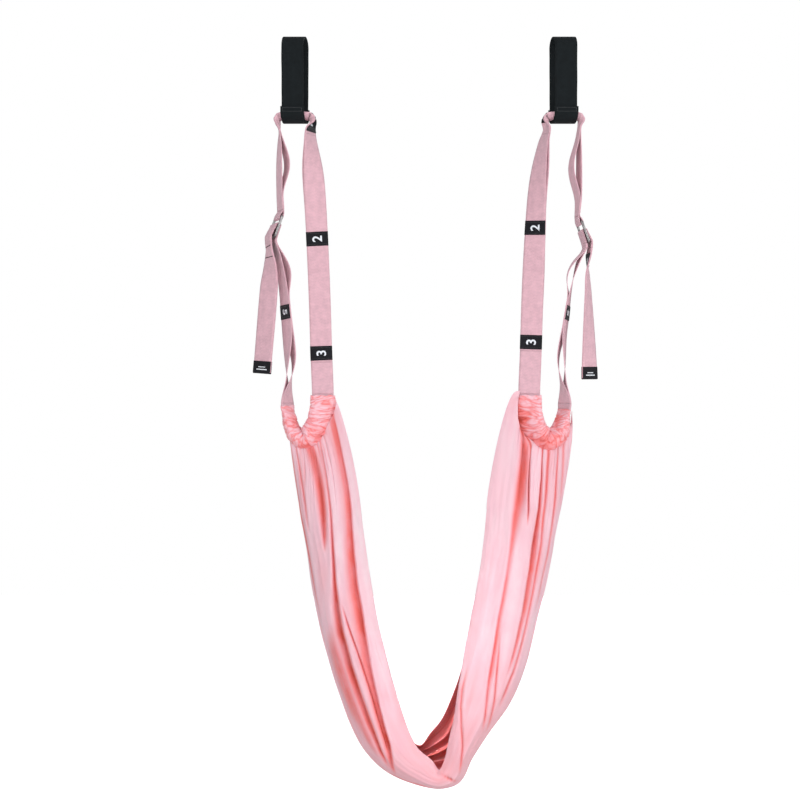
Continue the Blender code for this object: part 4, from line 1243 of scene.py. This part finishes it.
def build_cloth(material):
    """The hammock: a trough of knit cloth in long folds, gathered to each casing and open along the top."""
    rows = []
    for station in CLOTH_STATIONS:
        front_x, front_z, keel_x, keel_z = station[:4]
        rows.append(((front_x + keel_x) / 2 * MM, 0.0, (front_z + keel_z) / 2 * MM, *[n * MM for n in station]))
    value, _ = spline(rows)
    open_reach = cos(HEM_ANGLE)

    def hung(u, v):
        """A point of the hanging cloth, and its painted shading: painted shade in the creases, painted highlight on
        the crests.
        """
        front_x, front_z, keel_x, keel_z, rear_x, rear_z, depth = value(u)[3:]
        near_end = min(u, 1 - u)
        rear_hem = between(1.1 * pi, 2 * pi - HEM_ANGLE, ease(near_end / OPENS_OVER))
        angle = between(HEM_ANGLE, rear_hem, v)
        w = (angle - HEM_ANGLE) / (2 * pi - 2 * HEM_ANGLE)
        keel = Vector((keel_x, 0.0, keel_z))
        hem = Vector((front_x, 0.0, front_z)) if angle <= pi else Vector((rear_x, 0.0, rear_z))
        half = (hem - keel) / (1 + open_reach)
        inward, painted_shading = rear_folds(u, w)
        radius = (half.length_squared * cos(angle) ** 2 + (depth * sin(angle)) ** 2) ** 0.5
        ripple = 1.6 * MM * rough(u * 9, w * 22, 5.0)
        ripple += 0.8 * MM * rough(u * 26, w * 50, 9.0)
        share = 1 - (inward - ripple) / max(radius, 12 * MM)
        point = keel + half * (1 + cos(angle) * share)
        point.y = -depth * sin(angle) * share
        if angle < pi:
            wander = 1.5 * MM * rough(point.z * 14, point.x * 6, 2.0)
            # Painted shade in the front's creases and painted highlight on its crests
            folded, coral = front_folds((point.x + wander) / MM, point.z / MM)
            point.y += folded * ease((pi - angle) / 0.35)
            painted_shading += coral * ease((pi - angle) / 0.12)
        return point, painted_shading

    def gathers(u, v):
        """Pleats under the casing, from -1 in a fold to 1 on a crest, and how much they hold."""
        near_end = min(u, 1 - u)
        held = (1 - ease(near_end / 0.12)) * ease((v - 0.17) / 0.08)
        if held <= 0:
            return 0.0, 0.0
        side = 2.0 if u < 0.5 else 9.0
        spread = 14 + 5 * rough(v * 3, side, 0.0)
        return crumple(Vector((v * spread, near_end * 7, side)), side), held

    def surface(u, v):
        point, _ = hung(u, v)
        near_end = min(u, 1 - u)
        side = "left" if u < 0.5 else "right"
        crest, held = gathers(u, v)
        if held > 0:
            depth = 3.5 * MM * held * ease(near_end / 0.02 + 0.3)
            point.y += depth * crest * (-1 if v < 0.6 else 1)
        if near_end < SEAM_BLEND:
            share = near_end / SEAM_BLEND
            seam = cloth_seam(side, v)
            seam.y -= 1.2 * MM * crest
            point = seam.lerp(point, ease(share))
            point.x -= SIDES[side] * FLAPS[side] * sin(pi * share**0.6) * (1 - ease(v / 0.2))
        return point

    # Painted shading of the cloth: painted shade in its creases and pleats, painted highlight on crests, painted shade
    # inside the trough
    def fold(u, v):
        _, painted_shading = hung(u, v)
        crest, held = gathers(u, v)
        # Painted shade in the gathered pleats under the casings
        pleat_shade = held * max(-crest, 0.0) * 0.5
        tone = max(painted_shading, pleat_shade) if painted_shading > 0 else painted_shading + pleat_shade
        tone += 0.1 * rough(u * 9, v * 8, 3.0) + 0.07 * rough(u * 30, v * 22, 6.0)
        # More coral towards the middle of the cloth
        tone += 0.14 * exp(-(((u - 0.5) / 0.17) ** 2))
        # Painted shade on the rear wall inside the trough
        inside = ease((v - 0.5) / 0.1) * ease((0.2 - abs(u - 0.56)) / 0.12)
        if inside > 0:
            inner_wall_shade = 0.5 + 0.2 * ease((v - 0.66) / 0.08) + 0.25 * rough(u * 4, v * 30, 8.0)
            tone = between(tone, inner_wall_shade, inside)
        return limited(0.16 + tone * 0.84)

    cloth = sheet("hammock_knit", surface, CLOTH_LAY, CLOTH_CELLS, CLOTH_THICKNESS, material, fold=fold)
    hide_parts("cloth_left_arm", "cloth_seat", "cloth_right_arm")
    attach(cloth, "hammock")


# The whole


def build_side(prefix, side, turns, materials):
    """All of one side but the cloth. Gives its casing."""
    route = Route(side, turns)
    build_anchor(prefix, side, materials)
    build_buckle(prefix, side, turns, materials["nickel"])
    build_end_turn(prefix, route, materials["web"])
    lift, half = turns["label_lift"], LABEL_HEIGHT / 2
    margin = half + JOIN_MARGIN
    saddle_start = route.label_at(1) - half - (SADDLE_CELLS - lift) * LABEL_CELL
    saddle_end = route.label_at(1) + half + (1 + lift) * LABEL_CELL
    third = route.label_at(3) + half + THIRD_JOIN
    fifth = route.label_at(5)
    mouth_in, mouth_out, buckle_in, tail_top = [
        route.place(name) for name in ("inner_mouth", "outer_mouth", "buckle_in", "tail_top")
    ]
    tail_end = route.length - TAIL_MARGIN

    def web(name, start, end, **shape):
        return build_layers(f"{prefix}_web_{name}", route, start, end, materials["web"], **shape)

    def bend(pieces, first, second, start, end):
        """Web that runs between two bodies, from start to end along the route, baked in place without a joint."""
        for piece in pieces:
            route.point(start, 0.5)
            route.point(end, 0.5)
            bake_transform(piece)

    inner_spans = [(route.label_at(n) + margin, route.label_at(n + 1) - margin) for n in (1, 2)]
    sling = [
        *web("upper", 2 * GAP, saddle_start, spans=[(22 * MM, saddle_start - 6 * MM)], bows=(0.5 * MM, UPPER_BOW)),
        *web("saddle", saddle_start, saddle_end, cell=CURL_CELL, across=CURL_ACROSS),
        *web("inner", saddle_end, third, spans=inner_spans, bows=(0.6 * MM, INNER_BOW)),
        *web("buckle_turn", buckle_in, tail_top, cell=TURN_CELL),
    ]
    for piece in sling:
        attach(piece, "sling")
    bend(web("into_casing", third, mouth_in), "sling", "hammock", third, mouth_in)
    for piece in web("in_casing", mouth_in, mouth_out):
        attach(piece, "hammock")
    lower_spans = [(mouth_out + 6 * MM, fifth - margin), (fifth + margin, buckle_in - 12 * MM)]
    lower = web("lower", mouth_out, buckle_in, spans=lower_spans, bows=(1 * MM, LOWER_BOW))
    bend(lower, "hammock", "sling", mouth_out, buckle_in)
    tail = web("tail", tail_top, tail_end)
    bend(tail, f"{prefix}_tail", f"{prefix}_tail_end", tail_top, route.label_at(6) - half)
    bodies = {4: "hammock", 5: f"{prefix}_sliding_label", 6: f"{prefix}_tail_end"}
    for number in range(1, 7):
        build_label(prefix, number, route, materials, bodies.get(number, "sling"))
    build_tail_label(prefix, route, tail_end, materials)
    return build_casing(prefix, route, materials["cloth"])


def build_strap(materials):
    turns = {
        "left": {
            "upper": radians(-19), "label_1": radians(19), "inner": (70, 88, 88, 88), "sway": 4 * MM, "label_lift": 0,
            "label_5": radians(-29), "buckle": radians(-20), "buckle_drop": 0.0,
            "tail": ((-1.3, -20), (-2.8, -39), (-0.8, -56), (9.7, -56), (11.9, -56)),
        },
        "right": {
            "upper": radians(8), "label_1": radians(13), "inner": (46, 66, 78, 84), "sway": -7 * MM, "label_lift": 5,
            "label_5": radians(-16), "buckle": radians(4), "buckle_drop": 10 * MM,
            "tail": ((-2.0, 4), (-4.0, -14), (-3.0, -22), (-1.0, -47), (-0.5, -49)),
        },
    }
    casings = [build_side(prefix, side, turns[prefix], materials) for prefix, side in SIDES.items()]
    build_cloth(materials["cloth"])


# Studio


FLOOR_LEVEL = -1.75
FLOOR_REACH = 6.0
FLOOR_GLOW = 0.8
WORLD_LIGHT = 0.5
CAMERA_PLACE = (-0.051, -2.6, -0.616)
CAMERA_LENS = 66.9
LOOK_AT = (0.0, 0.0, -0.65)
# Name, place, aim, size in metres, power in watts, spread
LAMPS = (
    ("key", (-1.2, -2.4, 0.9), LOOK_AT, 1.8, 24.0, radians(180)),
    ("fill", (-0.05, -2.9, -0.45), LOOK_AT, 1.2, 17.5, radians(180)),
    ("side", (2.0, -1.6, -0.1), LOOK_AT, 1.4, 24.0, radians(180)),
    ("trough", (0.0, -0.6, 0.55), (0.02, 0.035, -1.18), 0.2, 0.1, radians(7.5)),
    ("rim", (0.6, 2.0, 0.8), LOOK_AT, 1.6, 14.0, radians(180)),
)


def seen_by_camera(tree):
    """1 for what the camera sees, also through clear things, and 0 for what lights the object."""
    rays = new_node(tree, "ShaderNodeLightPath", {}).outputs
    return math_node(tree, "ADD", rays["Is Camera Ray"], rays["Is Transmission Ray"], clamp=True)


def build_stage():
    """A white floor that shows only the object's shadow, and a white world behind."""
    bm = bmesh.new()
    bmesh.ops.create_grid(bm, x_segments=1, y_segments=1, size=FLOOR_REACH)
    bmesh.ops.translate(bm, verts=bm.verts, vec=(0.0, 0.0, FLOOR_LEVEL))
    material, tree, shader = new_material("floor", (0.9, 0.9, 0.9), 0.9)
    glow = math_node(tree, "MULTIPLY", seen_by_camera(tree), FLOOR_GLOW)
    fill(tree, shader, {"Emission Color": WHITE, "Emission Strength": glow})
    floor = add_object("floor", mesh_from("floor", bm, material))

    world = bpy.data.worlds.new("studio")
    world.use_nodes = True
    bpy.context.scene.world = world
    tree = world.node_tree
    tree.nodes.clear()
    lit, white = [
        new_node(tree, "ShaderNodeBackground", {"Color": colour, "Strength": strength}).outputs[0]
        for colour, strength in (((0.95, 0.97, 1.0), WORLD_LIGHT), (WHITE, 1.0))
    ]
    mixed = new_node(tree, "ShaderNodeMixShader", {0: seen_by_camera(tree), 1: lit, 2: white})
    new_node(tree, "ShaderNodeOutputWorld", {"Surface": mixed.outputs[0]})


def light_and_camera():
    for name, place, aim, size, power, spread in LAMPS:
        lamp = bpy.data.lights.new(name, "AREA")
        lamp.shape = "DISK"
        lamp.size = size
        lamp.energy = power
        lamp.spread = spread
        holder = add_object(name, lamp)
        holder.location = place
        holder.rotation_euler = (Vector(aim) - Vector(place)).to_track_quat("-Z", "Y").to_euler()
    camera = add_object("camera", bpy.data.cameras.new("camera"))
    camera.location = CAMERA_PLACE
    camera.rotation_euler = (radians(90), 0.0, 0.0)
    camera.data.lens = CAMERA_LENS
    camera.data.sensor_width = 36.0
    bpy.context.scene.camera = camera


def main():
    build_strap(make_materials())
    build_stage()
    light_and_camera()
    bpy.context.scene.view_settings.view_transform = "Standard"


main()
